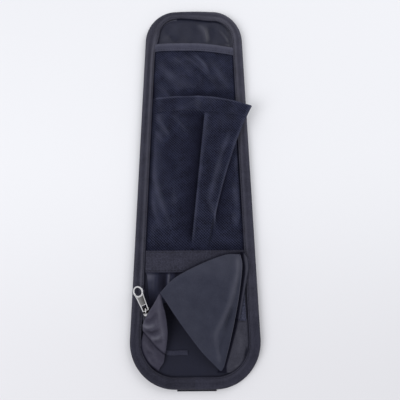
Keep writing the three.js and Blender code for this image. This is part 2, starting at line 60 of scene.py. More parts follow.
MM = 0.001
PATTERN_MAP = "weave"
# Painted light: each point's tint holds painted shade below 0 and painted highlight above 0, with a little
# tone.
PAINTED_LIGHT_AND_TONE = "painted_light_and_tone"
ACROSS = (1.0, 0.0, 0.0)
ALONG = (0.0, 1.0, 0.0)
UP = (0.0, 0.0, 1.0)

Value = "float | tuple[float, ...] | Socket"
Array = np.ndarray


def smoothstep(x: Array, low: float, high: float) -> Array:
    """0 below low, 1 above high, and 3t² - 2t³ between them."""
    t = np.clip((np.asarray(x, float) - low) / (high - low), 0.0, 1.0)
    return t * t * (3 - 2 * t)


def lerp(a: Any, b: Any, t: Any) -> Any:
    """The value a share t of the way from a to b."""
    return a + (b - a) * t


def bell(gap: Array, width: float) -> Array:
    """A bell curve: 1 where the gap is zero and 1/e where it is one width."""
    return np.exp(-((gap / width) ** 2))


def spot(x: Array, y: Array, place: tuple[float, float], size: tuple[float, float]) -> Array:
    """A bell over x and y: 1 at its place, falling away by its size across and along."""
    return np.exp(-(((x - place[0]) / size[0]) ** 2) - ((y - place[1]) / size[1]) ** 2)


def unit(vectors: Array) -> Array:
    """Vectors along the last axis, each made one long."""
    return vectors / np.linalg.norm(vectors, axis=-1, keepdims=True)


def run_of(path: Array) -> Array:
    """The length along a path at each of its points."""
    return np.pad(np.cumsum(np.linalg.norm(np.diff(path, axis=0), axis=1)), (1, 0))


def catmull(points: Array, t: Array) -> Array:
    """Places on the smooth curve that runs through points at even steps.

    Between two points the curve is a cubic whose end slopes are half the step between the neighbours,
    and past each end the last step is carried straight on.

    Args:
        points: The points, along the first axis.
        t: Where to read the curve, from 0 at the first point to 1 at the last.

    Returns:
        One place for each value of t, along the first axis.
    """
    p = np.concatenate([2 * points[:1] - points[1:2], points, 2 * points[-1:] - points[-2:-1]])
    s = np.clip(t, 0.0, 1.0) * (len(points) - 1)
    i = np.minimum(s.astype(int), len(points) - 2)
    f = (s - i).reshape(-1, *([1] * (points.ndim - 1)))
    a, b, c, d = p[i], p[i + 1], p[i + 2], p[i + 3]
    cubic = 2 * b + (c - a) * f + (2 * a - 5 * b + 4 * c - d) * f**2 + (3 * b - a - 3 * c + d) * f**3
    return cubic / 2


def spline_surface(control: Array, rows: int, columns: int) -> Array:
    """The smooth surface through a grid of control points, read on a finer grid.

    Args:
        control: Points as rows, columns and three coordinates.
        rows: Rows of the finer grid.
        columns: Columns of the finer grid.

    Returns:
        The finer grid of points.
    """
    across = catmull(control.swapaxes(0, 1), np.linspace(0, 1, columns)).swapaxes(0, 1)
    return catmull(across, np.linspace(0, 1, rows))


def ripple(x: Array, y: Array, wavelength: float, seed: int) -> Array:
    """Soft unevenness from -1 to 1: the mean of six sine waves in directions drawn from a seed.

    Args:
        x: The places' x.
        y: Their y.
        wavelength: The waves' usual length.
        seed: The number that the directions, phases and lengths are drawn from.

    Returns:
        The unevenness at each place.
    """
    draw = np.random.default_rng(seed)
    heading = draw.uniform(0, 2 * np.pi, 6)
    phase = draw.uniform(0, 2 * np.pi, 6)
    length = wavelength * draw.uniform(0.7, 1.5, 6)
    along = x[..., None] * np.cos(heading) + y[..., None] * np.sin(heading)
    return np.sin(2 * np.pi * along / length + phase).mean(-1) * 1.6


@dataclass(frozen=True)
class Fold:
    """A soft ridge in cloth along a curve seen from above. A negative height makes a valley."""

    points: tuple[tuple[float, float], ...]
    height: float
    width: float

    def relief(self, x: Array, y: Array) -> Array:
        """The ridge's height: a bell curve of the distance from it, fading out at both ends.

        Args:
            x: The places' x.
            y: Their y.

        Returns:
            The height at each place.
        """
        steps = 48
        path = catmull(np.array(self.points, float), np.linspace(0, 1, steps))
        gap = np.hypot(x[..., None] - path[:, 0], y[..., None] - path[:, 1])
        share = (gap.argmin(-1) + 0.5) / steps
        fade = np.sqrt(np.sin(np.pi * share))
        return self.height * fade * bell(gap.min(-1), self.width)


def relief_of(folds: Iterable[Fold], x: Array, y: Array) -> Array:
    """The summed heights of several folds at each place."""
    return sum((fold.relief(x, y) for fold in folds), np.zeros_like(x))


def grid_quads(rows: int, columns: int, wrap_rows: bool = False, wrap_columns: bool = False) -> Array:
    """The quads of a grid of points, counted row by row.

    Args:
        rows: Rows of points.
        columns: Columns of points.
        wrap_rows: Whether the last row joins the first.
        wrap_columns: Whether the last column joins the first.

    Returns:
        Four point numbers for each quad, facing down x right.
    """
    r, c = np.meshgrid(
        np.arange(rows if wrap_rows else rows - 1), np.arange(columns if wrap_columns else columns - 1),
        indexing="ij",
    )
    below, beside = (r + 1) % rows, (c + 1) % columns
    corners = [r * columns + c, below * columns + c, below * columns + beside, r * columns + beside]
    return np.stack(corners, -1).reshape(-1, 4)


def poled(quads: Array, around: int, last: int) -> Array:
    """A tube's quads with each end ring drawn into one point.

    Args:
        quads: The quads of the open tube.
        around: How many points a ring has.
        last: The number of the last ring's first point.

    Returns:
        The quads, which have repeated corners at the two poles.
    """
    return np.where(quads < around, 0, np.where(quads >= last, last, quads))


@dataclass
class Shell:
    """Points and quads of one mesh, with a pattern coordinate for each quad's corner.

    A point's tint runs from -1, darker, to 1, lighter than its finish: painted shade below 0 and painted
    highlight above 0, with a little tone. A flat quad is shaded flat.
    """

    points: Array
    quads: Array
    pattern: Array
    painted_light_and_tone: Array
    flat: Array

    @staticmethod
    def smooth(points: Array, quads: Array, arcs: Array) -> Shell:
        """A shell without tint or flat quads, from its points and a pattern coordinate for each."""
        return Shell(points, quads, arcs[quads], np.zeros(len(points)), np.zeros(len(quads), bool))

    @staticmethod
    def joined(shells: Sequence[Shell]) -> Shell:
        """Several shells as one mesh.

        Args:
            shells: The shells.

        Returns:
            Their points and quads together.
        """
        starts = np.cumsum([0] + [len(shell.points) for shell in shells[:-1]])
        return Shell(
            np.concatenate([shell.points for shell in shells]),
            np.concatenate([shell.quads + start for shell, start in zip(shells, starts)]),
            np.concatenate([shell.pattern for shell in shells]),
            np.concatenate([shell.painted_light_and_tone for shell in shells]),
            np.concatenate([shell.flat for shell in shells]),
        )

    def mesh(self, name: str) -> bpy.types.Mesh:
        """The shell as a Blender mesh in metres, with repeated corners of a quad dropped at poles.

        Args:
            name: The mesh's name.

        Returns:
            The mesh, with its pattern map and its tint.
        """
        faces = [tuple(dict.fromkeys(quad)) for quad in self.quads.tolist()]
        mesh = bpy.data.meshes.new(name)
        mesh.from_pydata((self.points * MM).tolist(), [], faces)
        corner = np.concatenate([
            [4 * i + quad.index(v) for v in dict.fromkeys(quad)] for i, quad in enumerate(self.quads.tolist())
        ]) if any(len(f) < 4 for f in faces) else np.arange(4 * len(faces))
        layer = mesh.uv_layers.new(name=PATTERN_MAP)
        layer.uv.foreach_set("vector", self.pattern.reshape(-1, 2)[corner].astype(np.float32).ravel())
        painted_light_and_tone = mesh.attributes.new(PAINTED_LIGHT_AND_TONE, "FLOAT", "POINT")
        painted_light_and_tone.data.foreach_set("value", self.painted_light_and_tone.astype(np.float32))
        sharp = mesh.attributes.new("sharp_face", "BOOLEAN", "FACE")
        sharp.data.foreach_set("value", self.flat.astype(bool))
        mesh.update()
        return mesh


@dataclass
class Surface:
    """A surface on a grid of points. Columns run right and rows run down, seen from above.

    Its pattern follows the lengths along rows and columns, or x and y where the pattern is level.
    """

    points: Array
    painted_light_and_tone: Array | None = None
    level_pattern: bool = False

    @property
    def normals(self) -> Array:
        """The direction square to the surface at each point: the step down crossed with the step right.

        Returns:
            Unit vectors on the same grid.
        """
        down = np.gradient(self.points, axis=0)
        right = np.gradient(self.points, axis=1)
        normal = np.cross(down, right)
        return normal / np.maximum(np.linalg.norm(normal, axis=-1, keepdims=True), 1e-9)

    @property
    def arcs(self) -> Array:
        """Each point's length along its row, from the middle column, and along its column, from the top.

        Returns:
            Both lengths on the same grid.
        """
        right = np.linalg.norm(np.diff(self.points, axis=1), axis=-1)
        down = np.linalg.norm(np.diff(self.points, axis=0), axis=-1)
        u = np.pad(np.cumsum(right, axis=1), ((0, 0), (1, 0)))
        v = np.pad(np.cumsum(down, axis=0), ((1, 0), (0, 0)))
        middle = u.shape[1] // 2
        return np.stack([u - u[:, middle:middle + 1], v], -1)

    @property
    def cut(self) -> tuple[tuple[float, float], float]:
        """The flat size of the cloth in metres, width and length, and its area in square metres.

        Returns:
            The longest row and column, and the quads' area, which is at most their product.
        """
        right = np.linalg.norm(np.diff(self.points, axis=1), axis=-1).sum(1).max()
        down = np.linalg.norm(np.diff(self.points, axis=0), axis=-1).sum(0).max()
        a, b = self.points[:-1, :-1], self.points[1:, :-1]
        c, d = self.points[1:, 1:], self.points[:-1, 1:]
        area = np.linalg.norm(np.cross(c - a, d - b), axis=-1).sum() / 2
        return (float(right) * MM, float(down) * MM), float(min(area, right * down)) * MM**2

    def raised(self, height: Array) -> Surface:
        """The surface moved by a height along its normals."""
        return replace(self, points=self.points + self.normals * height[..., None])

    def wrinkled(self, folds: Iterable[Fold], uneven: float, wavelength: float, seed: int) -> Surface:
        """The surface with folds and some soft unevenness added, with painted highlight on its ridges and
        painted shade in its hollows.

        Args:
            folds: The folds.
            uneven: The unevenness's height.
            wavelength: Its usual wavelength.
            seed: Its seed.

        Returns:
            The new surface.
        """
        x, y = self.points[..., 0], self.points[..., 1]
        height = relief_of(folds, x, y) + uneven * ripple(x, y, wavelength, seed)
        # Painted light: the tint follows the height, lighter on ridges and darker in hollows.
        return replace(self.raised(height), painted_light_and_tone=0.16 * height)

    def sheet(self, thickness: float | Array) -> Shell:
        """Cloth of a thickness: both faces, half the thickness either way, and the rim between them.

        Args:
            thickness: One thickness, or one for each point.

        Returns:
            The closed shell, whose rim is flat.
        """
        half = np.broadcast_to(np.asarray(thickness, float) / 2, self.points.shape[:2])[..., None]
        normals = self.normals
        rows, columns = self.points.shape[:2]
        count = rows * columns
        points = np.concatenate([(self.points + normals * half).reshape(-1, 3),
                                 (self.points - normals * half).reshape(-1, 3)])
        front = grid_quads(rows, columns)
        back = front[:, ::-1] + count
        index = np.arange(count).reshape(rows, columns)
        walk = np.concatenate([index[:, 0], index[-1, 1:], index[-2::-1, -1], index[0, -2:0:-1]])
        after = np.roll(walk, -1)
        rim = np.stack([walk, walk + count, after + count, after], -1)
        quads = np.concatenate([front, back, rim])
        arcs = self.points[..., :2] if self.level_pattern else self.arcs
        arcs = np.tile(arcs.reshape(-1, 2), (2, 1))
        painted_light_and_tone = np.zeros(count) if self.painted_light_and_tone is None else np.broadcast_to(self.painted_light_and_tone, (rows, columns)).ravel()
        flat = np.concatenate([np.zeros(2 * len(front), bool), np.ones(len(rim), bool)])
        return Shell(points, quads, arcs[quads], np.tile(painted_light_and_tone, 2), flat)


def ring_shell(points: Array, painted_light_and_tone: Array | None = None) -> Shell:
    """A closed tube that returns to its start, from its points as stations and places round its section.

    Args:
        points: The points.
        painted_light_and_tone: Their tint, or None.

    Returns:
        The tube.
    """
    stations, around = points.shape[:2]
    quads = grid_quads(stations, around, wrap_rows=True, wrap_columns=True)
    wrapped = np.pad(points, ((0, 1), (0, 1), (0, 0)), mode="wrap")
    arcs = Surface(wrapped).arcs
    index = np.arange((stations + 1) * (around + 1)).reshape(stations + 1, around + 1)
    corners = np.stack([index[:-1, :-1], index[1:, :-1], index[1:, 1:], index[:-1, 1:]], -1).reshape(-1, 4)
    painted_light_and_tone = np.zeros(stations * around) if painted_light_and_tone is None else np.broadcast_to(painted_light_and_tone, (stations, around)).ravel()
    flat = np.zeros(len(quads), bool)
    return Shell(points.reshape(-1, 3), quads, arcs.reshape(-1, 2)[corners], painted_light_and_tone, flat)


def bar_shell(points: Array) -> Shell:
    """A closed bar with flat ends, from its points as stations and places round its section.

    Args:
        points: The points.

    Returns:
        The bar.
    """
    stations, around = points.shape[:2]
    ends = points[[0, -1]].mean(axis=1, keepdims=True)
    closed = np.concatenate([np.repeat(ends[:1], around, 1), points, np.repeat(ends[1:], around, 1)])
    quads = poled(grid_quads(stations + 2, around, wrap_columns=True), around, (stations + 1) * around)
    arcs = Surface(closed).arcs.reshape(-1, 2)
    flat = np.zeros(len(quads), bool)
    flat[:around] = True
    flat[-around:] = True
    return Shell(closed.reshape(-1, 3), quads, arcs[quads], np.zeros((stations + 2) * around), flat)


def dropped_poles(shell: Shell) -> Shell:
    """The shell without the points that no quad uses."""
    used, quads = np.unique(shell.quads, return_inverse=True)
    return replace(shell, points=shell.points[used], quads=quads.reshape(-1, 4), painted_light_and_tone=shell.painted_light_and_tone[used])


class Socket:
    """The output of a shader node. Python's operators on it add Math nodes."""

    def __init__(self, book: NodeBook, output: bpy.types.NodeSocket) -> None:
        """Wraps an output of one of the book's nodes."""
        self.book = book
        self.output = output

    def __add__(self, other: Value) -> Socket:
        """The sum."""
        return self.book.math("ADD", self, other)

    def __radd__(self, other: Value) -> Socket:
        """The sum, with a number on the left."""
        return self.book.math("ADD", other, self)

    def __sub__(self, other: Value) -> Socket:
        """The difference."""
        return self.book.math("SUBTRACT", self, other)

    def __rsub__(self, other: Value) -> Socket:
        """The difference, with a number on the left."""
        return self.book.math("SUBTRACT", other, self)

    def __mul__(self, other: Value) -> Socket:
        """The product."""
        return self.book.math("MULTIPLY", self, other)

    def __rmul__(self, other: Value) -> Socket:
        """The product, with a number on the left."""
        return self.book.math("MULTIPLY", other, self)

    def __abs__(self) -> Socket:
        """The size without its sign."""
        return self.book.math("ABSOLUTE", self)

    def beside(self, name: str) -> Socket:
        """Another output of the same node."""
        return Socket(self.book, self.output.node.outputs[name])


class NodeBook:
    """The nodes of one material or of the world."""

    def __init__(self, owner: bpy.types.Material | bpy.types.World) -> None:
        """Opens the nodes and clears them.

        Args:
            owner: The material or the world that they belong to.
        """
        owner.use_nodes = True
        self.owner = owner
        self.tree = owner.node_tree
        self.tree.nodes.clear()

    def node(self, kind: str, settings: dict[str, Any], sockets: dict[Any, Value], output: Any = 0) -> Socket:
        """Adds a node.

        Args:
            kind: The node's type.
            settings: Its own settings, set first.
            sockets: The values or links of its inputs, by name or number.
            output: The output that is wanted, by name or number.

        Returns:
            That output, or the first input of a node that has no output.
        """
        node = self.tree.nodes.new(kind)
        for key, value in settings.items():
            setattr(node, key, value)
        for key, value in sockets.items():
            if isinstance(value, Socket):
                self.tree.links.new(value.output, node.inputs[key])
            else:
                node.inputs[key].default_value = value
        return Socket(self, node.outputs[output]) if len(node.outputs) else Socket(self, node.inputs[0])

    def math(self, operation: str, *values: Value) -> Socket:
        """A Math node on one, two or three values."""
        return self.node("ShaderNodeMath", {"operation": operation}, dict(enumerate(values)))

    def sine(self, value: Value) -> Socket:
        """The sine of a value in radians."""
        return self.math("SINE", value)

    def between(self, value: Value, low: float, high: float) -> Socket:
        """0 below low and 1 above high, smoothly."""
        sockets = {"Value": value, "From Min": low, "From Max": high}
        return self.node("ShaderNodeMapRange", {"interpolation_type": "SMOOTHSTEP"}, sockets)

    def mix(self, share: Value, first: Value, second: Value) -> Socket:
        """A colour a share of the way from the first to the second."""
        settings = {"data_type": "RGBA", "clamp_factor": True}
        return self.node("ShaderNodeMix", settings, {0: share, 6: first, 7: second}, 2)

    def noise(self, place: Socket, scale: float, detail: float) -> Socket:
        """Smooth noise, about 0.5 on average, with patches about 1/scale wide."""
        return self.node("ShaderNodeTexNoise", {}, {"Vector": place, "Scale": scale, "Detail": detail})

    def pattern_place(self) -> tuple[Socket, Socket]:
        """The piece's own coordinates along its cloth, in millimetres across and along.

        Returns:
            Both coordinates.
        """
        place = self.node("ShaderNodeUVMap", {"uv_map": PATTERN_MAP}, {})
        across = self.node("ShaderNodeSeparateXYZ", {}, {0: place})
        return across, across.beside("Y")

    def painted_light_and_tone(self) -> Socket:
        """The piece's own tint, from -1 to 1."""
        return self.node("ShaderNodeAttribute", {"attribute_name": PAINTED_LIGHT_AND_TONE}, {}, "Fac")

    def object_place(self) -> Socket:
        """The place on the object in metres."""
        return self.node("ShaderNodeTexCoord", {}, {}, "Object")

    def finish(self, sockets: dict[str, Value], height: Value | None, distance: float) -> bpy.types.Material:
        """Ends the material in a Principled shader.

        Args:
            sockets: The shader's inputs.
            height: The surface's fine relief from 0 to 1, or None where it has none.
            distance: How high 1 of it stands, in metres.

        Returns:
            The finished material.
        """
        if height is not None:
            bump = self.node("ShaderNodeBump", {}, {"Strength": 1.0, "Distance": distance, "Height": height})
            sockets = {**sockets, "Normal": bump}
        shader = self.node("ShaderNodeBsdfPrincipled", {}, sockets)
        self.node("ShaderNodeOutputMaterial", {}, {"Surface": shader})
        return self.owner


def linear(code: str) -> tuple[float, float, float, float]:
    """A colour written as six hexadecimal digits in sRGB, as linear light.

    Args:
        code: The digits.

    Returns:
        Red, green, blue and 1. Each is (c + 0.055) / 1.055 to the power 2.4, or c / 12.92 if very dark.
    """
    parts = np.array([int(code[i:i + 2], 16) for i in (0, 2, 4)]) / 255
    light = np.where(parts <= 0.04045, parts / 12.92, ((parts + 0.055) / 1.055) ** 2.4)
    return (*light.tolist(), 1.0)


# Painted shade: the colour that cloth is mixed towards where its tint is below 0.
PAINTED_SHADE = "0c0c1a"


class Weave(Enum):
    """How a cloth's threads cross."""

    PLAIN = "plain"
    TWILL = "twill"
    KNIT = "knit"
    NET = "net"
    RIB = "rib"

    def height(self, book: NodeBook, u: Socket, v: Socket, pitch: float) -> Socket:
        """The threads' height from 0 to 1 as a wave pattern of the pattern coordinates.

        Args:
            book: The material's nodes.
            u: Millimetres across.
            v: Millimetres along.
            pitch: Millimetres from thread to thread.

        Returns:
            The height.
        """
        turn = 2 * math.pi / pitch
        if self is Weave.PLAIN:
            return 0.5 + 0.5 * (book.sine(u * turn) * book.sine(v * turn))
        if self is Weave.TWILL:
            return 0.5 + 0.3 * book.sine((u + v) * turn) + 0.2 * book.sine((u - v) * (turn * 2))
        if self is Weave.KNIT:
            chevron = abs(book.math("FRACT", u * (1 / pitch)) - 0.5) * pitch
            return 0.5 + 0.3 * book.sine((v + chevron) * turn) + 0.2 * book.sine(u * turn)
        if self is Weave.NET:
            down = book.sine((v + u * 0.95) * turn)
            up = book.sine((v - u * 1.05) * turn)
            return 0.5 + 0.32 * down + 0.18 * up
        return 0.5 + 0.5 * book.sine(v * turn)


@dataclass(frozen=True)
class Fabric:
    """A woven, knitted or net cloth.

    Attributes:
        name: The material's name.
        slot: The record's material slot.
        thread: The threads' colour.
        gap: The colour between the threads.
        weave: How the threads cross.
        pitch: Millimetres from thread to thread.
        relief: How high the threads stand, in millimetres.
        roughness: The gloss, from 0, mirror, to 1, dull.
        sheen: The soft shine of loose fibres at a low angle.
        specular: The strength of the mirror reflection.
        contrast: How much darker the gaps are than the threads.
        grain: How much the colour varies from thread to thread.
        mottle: How much it varies from place to place.
        painted_highlight: The colour of painted highlight, mixed in where the tint is above 0.
    """

    name: str
    slot: str
    thread: str
    gap: str
    weave: Weave
    pitch: float
    relief: float
    roughness: float
    sheen: float = 0.0
    specular: float = 0.2
    contrast: float = 0.8
    grain: float = 0.8
    mottle: float = 0.8
    painted_highlight: str = "72727f"

    def material(self) -> bpy.types.Material:
        """Threads and gaps by the weave, mottled by noise, with painted highlight and painted shade from the
        tint.

        Returns:
            The material.
        """
        book = NodeBook(bpy.data.materials.new(self.name))
        u, v = book.pattern_place()
        height = self.weave.height(book, u, v, self.pitch)
        place = book.object_place()
        patches = book.noise(place, 90.0, 4.0)
        fibres = book.noise(place, 900.0, 3.0)
        share = (height - 0.5) * self.contrast + (fibres - 0.5) * self.grain
        share = share + (patches - 0.5) * self.mottle + 0.5
        colour = book.mix(share, linear(self.gap), linear(self.thread))
        # Painted light: the colour is mixed towards the painted highlight colour where the tint is above 0
        # and towards the painted shade colour where it is below 0.
        painted_light_and_tone = book.painted_light_and_tone()
        colour = book.mix(painted_light_and_tone, colour, linear(self.painted_highlight))
        colour = book.mix(painted_light_and_tone * -1.0, colour, linear(PAINTED_SHADE))
        sockets = {
            "Base Color": colour,
            "Roughness": self.roughness + (patches - 0.5) * 0.25 + book.between(painted_light_and_tone * -1.0, 0.0, 0.5) * 0.4,
            "Sheen Weight": self.sheen,
            "Sheen Roughness": 0.4,
            "Specular IOR Level": self.specular,
        }
        return book.finish(sockets, height + fibres * 0.4, self.relief * MM)


@dataclass(frozen=True)
class Metal:
    """Bright plated metal with dark stains, and painted shade where its tint is low."""

    name: str
    slot: str
    colour: str
    stain_and_shade: str
    roughness: float

    def material(self) -> bpy.types.Material:
        """Plating with fine rub marks and dark stains, with painted shade where the tint is low.

        Returns:
            The material.
        """
        book = NodeBook(bpy.data.materials.new(self.name))
        place = book.object_place()
        marks = book.noise(place, 1500.0, 3.0)
        stain = book.noise(place, 260.0, 2.0)
        # Painted shade: the colour is mixed towards the dark colour where the tint is below 0; the stains mix
        # in the same dark colour.
        colour = book.mix(book.painted_light_and_tone() * -1.0, linear(self.colour), linear(self.stain_and_shade))
        colour = book.mix(book.between(stain, 0.5, 0.8) * 0.25, colour, linear(self.stain_and_shade))
        sockets = {"Base Color": colour, "Metallic": 1.0, "Roughness": self.roughness + (marks - 0.4) * 0.3}
        return book.finish(sockets, marks, 0.02 * MM)


@dataclass(frozen=True)
class Plain:
    """Moulded or pressed stock with a faint grain."""

    name: str
    slot: str
    colour: str
    grain: str
    roughness: float
    scale: float

    def material(self) -> bpy.types.Material:
        """Two near colours mixed by noise.

        Returns:
            The material.
        """
        book = NodeBook(bpy.data.materials.new(self.name))
        grain = book.noise(book.object_place(), self.scale, 6.0)
        colour = book.mix(book.between(grain, 0.35, 0.65), linear(self.colour), linear(self.grain))
        return book.finish({"Base Color": colour, "Roughness": self.roughness}, grain, 0.05 * MM)


Finish = Fabric | Metal | Plain

BINDING = Fabric(
    "binding_tape", "binding", "434352", "24242e", Weave.KNIT, 1.5, 0.18, 0.8, 0.06, 0.14, grain=1.0,
)
TRIM = Fabric("trim_tape", "binding", "4e4f61", "2e2f3d", Weave.KNIT, 1.5, 0.18, 0.75, 0.06, 0.14)
BAND = Fabric(
    "pouch_band_tape", "binding", "3d3d4c", "1d1d28", Weave.KNIT, 1.5, 0.18, 0.8, 0.06, 0.14, 0.7, 1.6,
)
FACING = Fabric(
    "facing_tape", "binding", "46485b", "1c1e2b", Weave.KNIT, 1.6, 0.22, 0.8, 0.06, 0.14, 1.2, 1.6,
)
NYLON = Fabric(
    "slick_nylon", "nylon", "272939", "191a27", Weave.PLAIN, 0.7, 0.02, 0.36, 0.0, 0.14, 0.4, 0.5, 1.0,
)
GUSSET_NYLON = replace(NYLON, name="gathered_nylon", roughness=0.45, thread="2a2c3f", gap="1a1b2b")
ZIP_CLOTH = Fabric("zip_cloth", "nylon", "3a3b49", "2b2b36", Weave.TWILL, 0.9, 0.05, 0.6, 0.0, 0.14)
NET = Fabric(
    "pocket_net", "mesh", "2c2f44", "080912", Weave.NET, 3.1, 0.2, 0.85, 0.04, 0.07, 1.1, 1.6, 1.0, "5f6278",
)
SATIN = Fabric(
    "pouch_satin", "satin", "353745", "282a38", Weave.TWILL, 0.6, 0.02, 0.52, 0.06, 0.105, 0.5, 1.0, 1.3,
)
LINED_SATIN = replace(SATIN, name="folded_satin", thread="403f4d", gap="33313f")
OXFORD = Fabric(
    "pouch_oxford", "oxford", "3f3f4b", "262630", Weave.PLAIN, 1.3, 0.12, 0.75, 0.05, 0.14, 0.8, 1.4,
)
WEBBING = Fabric("strap_webbing", "webbing", "363640", "1a1a20", Weave.RIB, 1.8, 0.2, 0.8, 0.08, 0.175)
THREAD = Fabric("sewing_thread", "binding", "1c1c23", "0c0c10", Weave.RIB, 0.5, 0.08, 0.6, 0.0, 0.14)
NET_THREAD = replace(THREAD, name="net_thread", slot="mesh", thread="272a3c", gap="191b28")
COIL = Plain("zip_coil", "coil", "1c1c23", "2a2a33", 0.4, 900.0)
BOARD = Plain("grey_board", "board", "8a8378", "6f695f", 0.9, 60.0)
CHROME = Metal("plated_metal", "metal", "d2d2d5", "1a1716", 0.18)

MATERIALS: dict[str, bpy.types.Material] = {}


def dress(obj: bpy.types.Object, finish: Finish) -> None:
    """Gives an object a finish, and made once.

    Args:
        obj: The object.
        finish: The finish.
    """
    if finish.name not in MATERIALS:
        MATERIALS[finish.name] = finish.material()
    obj.data.materials.clear()
    obj.data.materials.append(MATERIALS[finish.name])


def place_piece(
    name: str, shell: Shell, finish: Finish, nodes: Sequence[str] = (), body: str = "organizer",
) -> bpy.types.Object:
    """Makes a piece and lets it ride on a body.

    Args:
        name: The piece's name.
        shell: Its mesh.
        finish: Its material.
        nodes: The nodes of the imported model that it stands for.
        body: The body that it moves with.

    Returns:
        The new object.
    """
    obj = bpy.data.objects.new(name, dropped_poles(shell).mesh(name))
    bpy.context.scene.collection.objects.link(obj)
    dress(obj, finish)
    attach(obj, body)
    if nodes:
        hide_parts(*nodes)
    log.info("%s: %d points, %s", name, len(obj.data.vertices), finish.name)
    return obj


@dataclass(frozen=True)
class Levels:
    """Heights of the layers above the table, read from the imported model."""

    lining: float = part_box("front_lining")[1][2] / MM
    cover: tuple[float, float] = (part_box("back_cover")[0][2] / MM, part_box("back_cover")[1][2] / MM)
    binding: tuple[float, float] = (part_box("edge_binding")[0][2] / MM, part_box("edge_binding")[1][2] / MM)
    band: tuple[float, float] = (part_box("pouch_band")[0][2] / MM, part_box("pouch_band")[1][2] / MM)
    cloth: float = 0.6
    gap: float = 0.3

    @property
    def tucked(self) -> float:
        """The middle of a cloth that lies on the lining, under the binding's lip."""
        return self.lining + self.gap + self.cloth / 2

    @property
    def on_lip(self) -> float:
        """The middle of a cloth that lies on the binding's upper lip."""
        return self.binding[1] + self.gap + self.cloth / 2


LEVELS = Levels()


MIDDLE_HEM = 103.5
BAND_TOP = -81.5


@dataclass(frozen=True)
class Outline:
    """The organizer's outline: a tapering panel with round lower corners and oval upper ones."""

    bottom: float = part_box("edge_binding")[0][1] / MM
    top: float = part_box("edge_binding")[1][1] / MM
    bottom_width: float = 141.4
    top_width: float = 120.0
    bottom_corner: float = 48.7
    top_corner: tuple[float, float] = (38.0, 44.0)
    crown: float = 0.8
    binding: float = 12.6

    def side(self, y: Array) -> Array:
        """Half the width at a height, on the straight taper."""
        slope = (self.bottom_width - self.top_width) / 2 / (self.top - self.bottom)
        return self.bottom_width / 2 - slope * (np.asarray(y, float) - self.bottom)

    def half_width(self, y: Array, inset: float) -> Array:
        """Half the width at a height, with the corners, of the outline moved inwards.

        Each lower corner is a circle and each upper one an ellipse, both made smaller by the inset.

        Args:
            y: The heights.
            inset: How far inwards.

        Returns:
            Half the width at each height.
        """
        y = np.asarray(y, float)
        low = self.bottom + self.bottom_corner
        high = self.top - self.crown - self.top_corner[1]
        radius = self.bottom_corner - inset
        across, along = self.top_corner[0] - inset, self.top_corner[1] - inset
        below = np.clip((low - y) / radius, 0, 1)
        above = np.clip((y - high) / along, 0, 1)
        corner = self.side(low) - self.bottom_corner + radius * np.sqrt(1 - below**2)
        oval = self.side(high) - self.top_corner[0] + across * np.sqrt(1 - above**2)
        return np.where(y < low, corner, np.where(y > high, oval, self.side(y) - inset))

    def inner(self, y: Array) -> Array:
        """Half the width between the binding's inner edges."""
        return self.half_width(y, self.binding)

    def path(self, count: int) -> tuple[Array, Array]:
        """Evenly spaced places round the outline, counterclockwise, and the outward direction at each.

        Args:
            count: How many places.

        Returns:
            The places and the directions.
        """
        turn = np.linspace(0, np.pi / 2, 200)
        low, high = self.bottom + self.bottom_corner, self.top - self.crown - self.top_corner[1]
        corner = np.stack([
            self.side(low) - self.bottom_corner * (1 - np.sin(turn)),
            low - self.bottom_corner * np.cos(turn),
        ], -1)
        oval = np.stack([
            self.side(high) - self.top_corner[0] * (1 - np.cos(turn)),
            high + self.top_corner[1] * np.sin(turn),
        ], -1)
        crown_x = np.linspace(oval[-1, 0], 0, 20)[1:]
        crown = np.stack([crown_x, self.top - self.crown * (crown_x / oval[-1, 0]) ** 2], -1)
        half = np.concatenate([[[0.0, self.bottom]], corner, oval, crown])
        whole = np.concatenate([half, (half * [-1, 1])[-2::-1]])
        length = run_of(whole)
        at = np.linspace(0, length[-1], count, endpoint=False)
        points = np.stack([np.interp(at, length, whole[:, i]) for i in (0, 1)], -1)
        along = unit(np.roll(points, -1, 0) - np.roll(points, 1, 0))
        return points, np.stack([along[:, 1], -along[:, 0]], -1)

    def panel(self, inset: float, level: float, rows: int, columns: int) -> Surface:
        """A flat panel in the outline moved inwards, with rows set close where the corners turn.

        Args:
            inset: How far inwards.
            level: Its level.
            rows: Its rows.
            columns: Its columns.

        Returns:
            The panel.
        """
        share = (1 - np.cos(np.linspace(0, np.pi, rows))) / 2
        y = lerp(self.top - inset, self.bottom + inset, lerp(np.linspace(0, 1, rows), share, 0.8))
        half = self.half_width(y, inset)
        x = half[:, None] * np.linspace(-1, 1, columns)
        return Surface(np.stack([x, np.broadcast_to(y[:, None], x.shape), np.full_like(x, level)], -1))


OUTLINE = Outline()


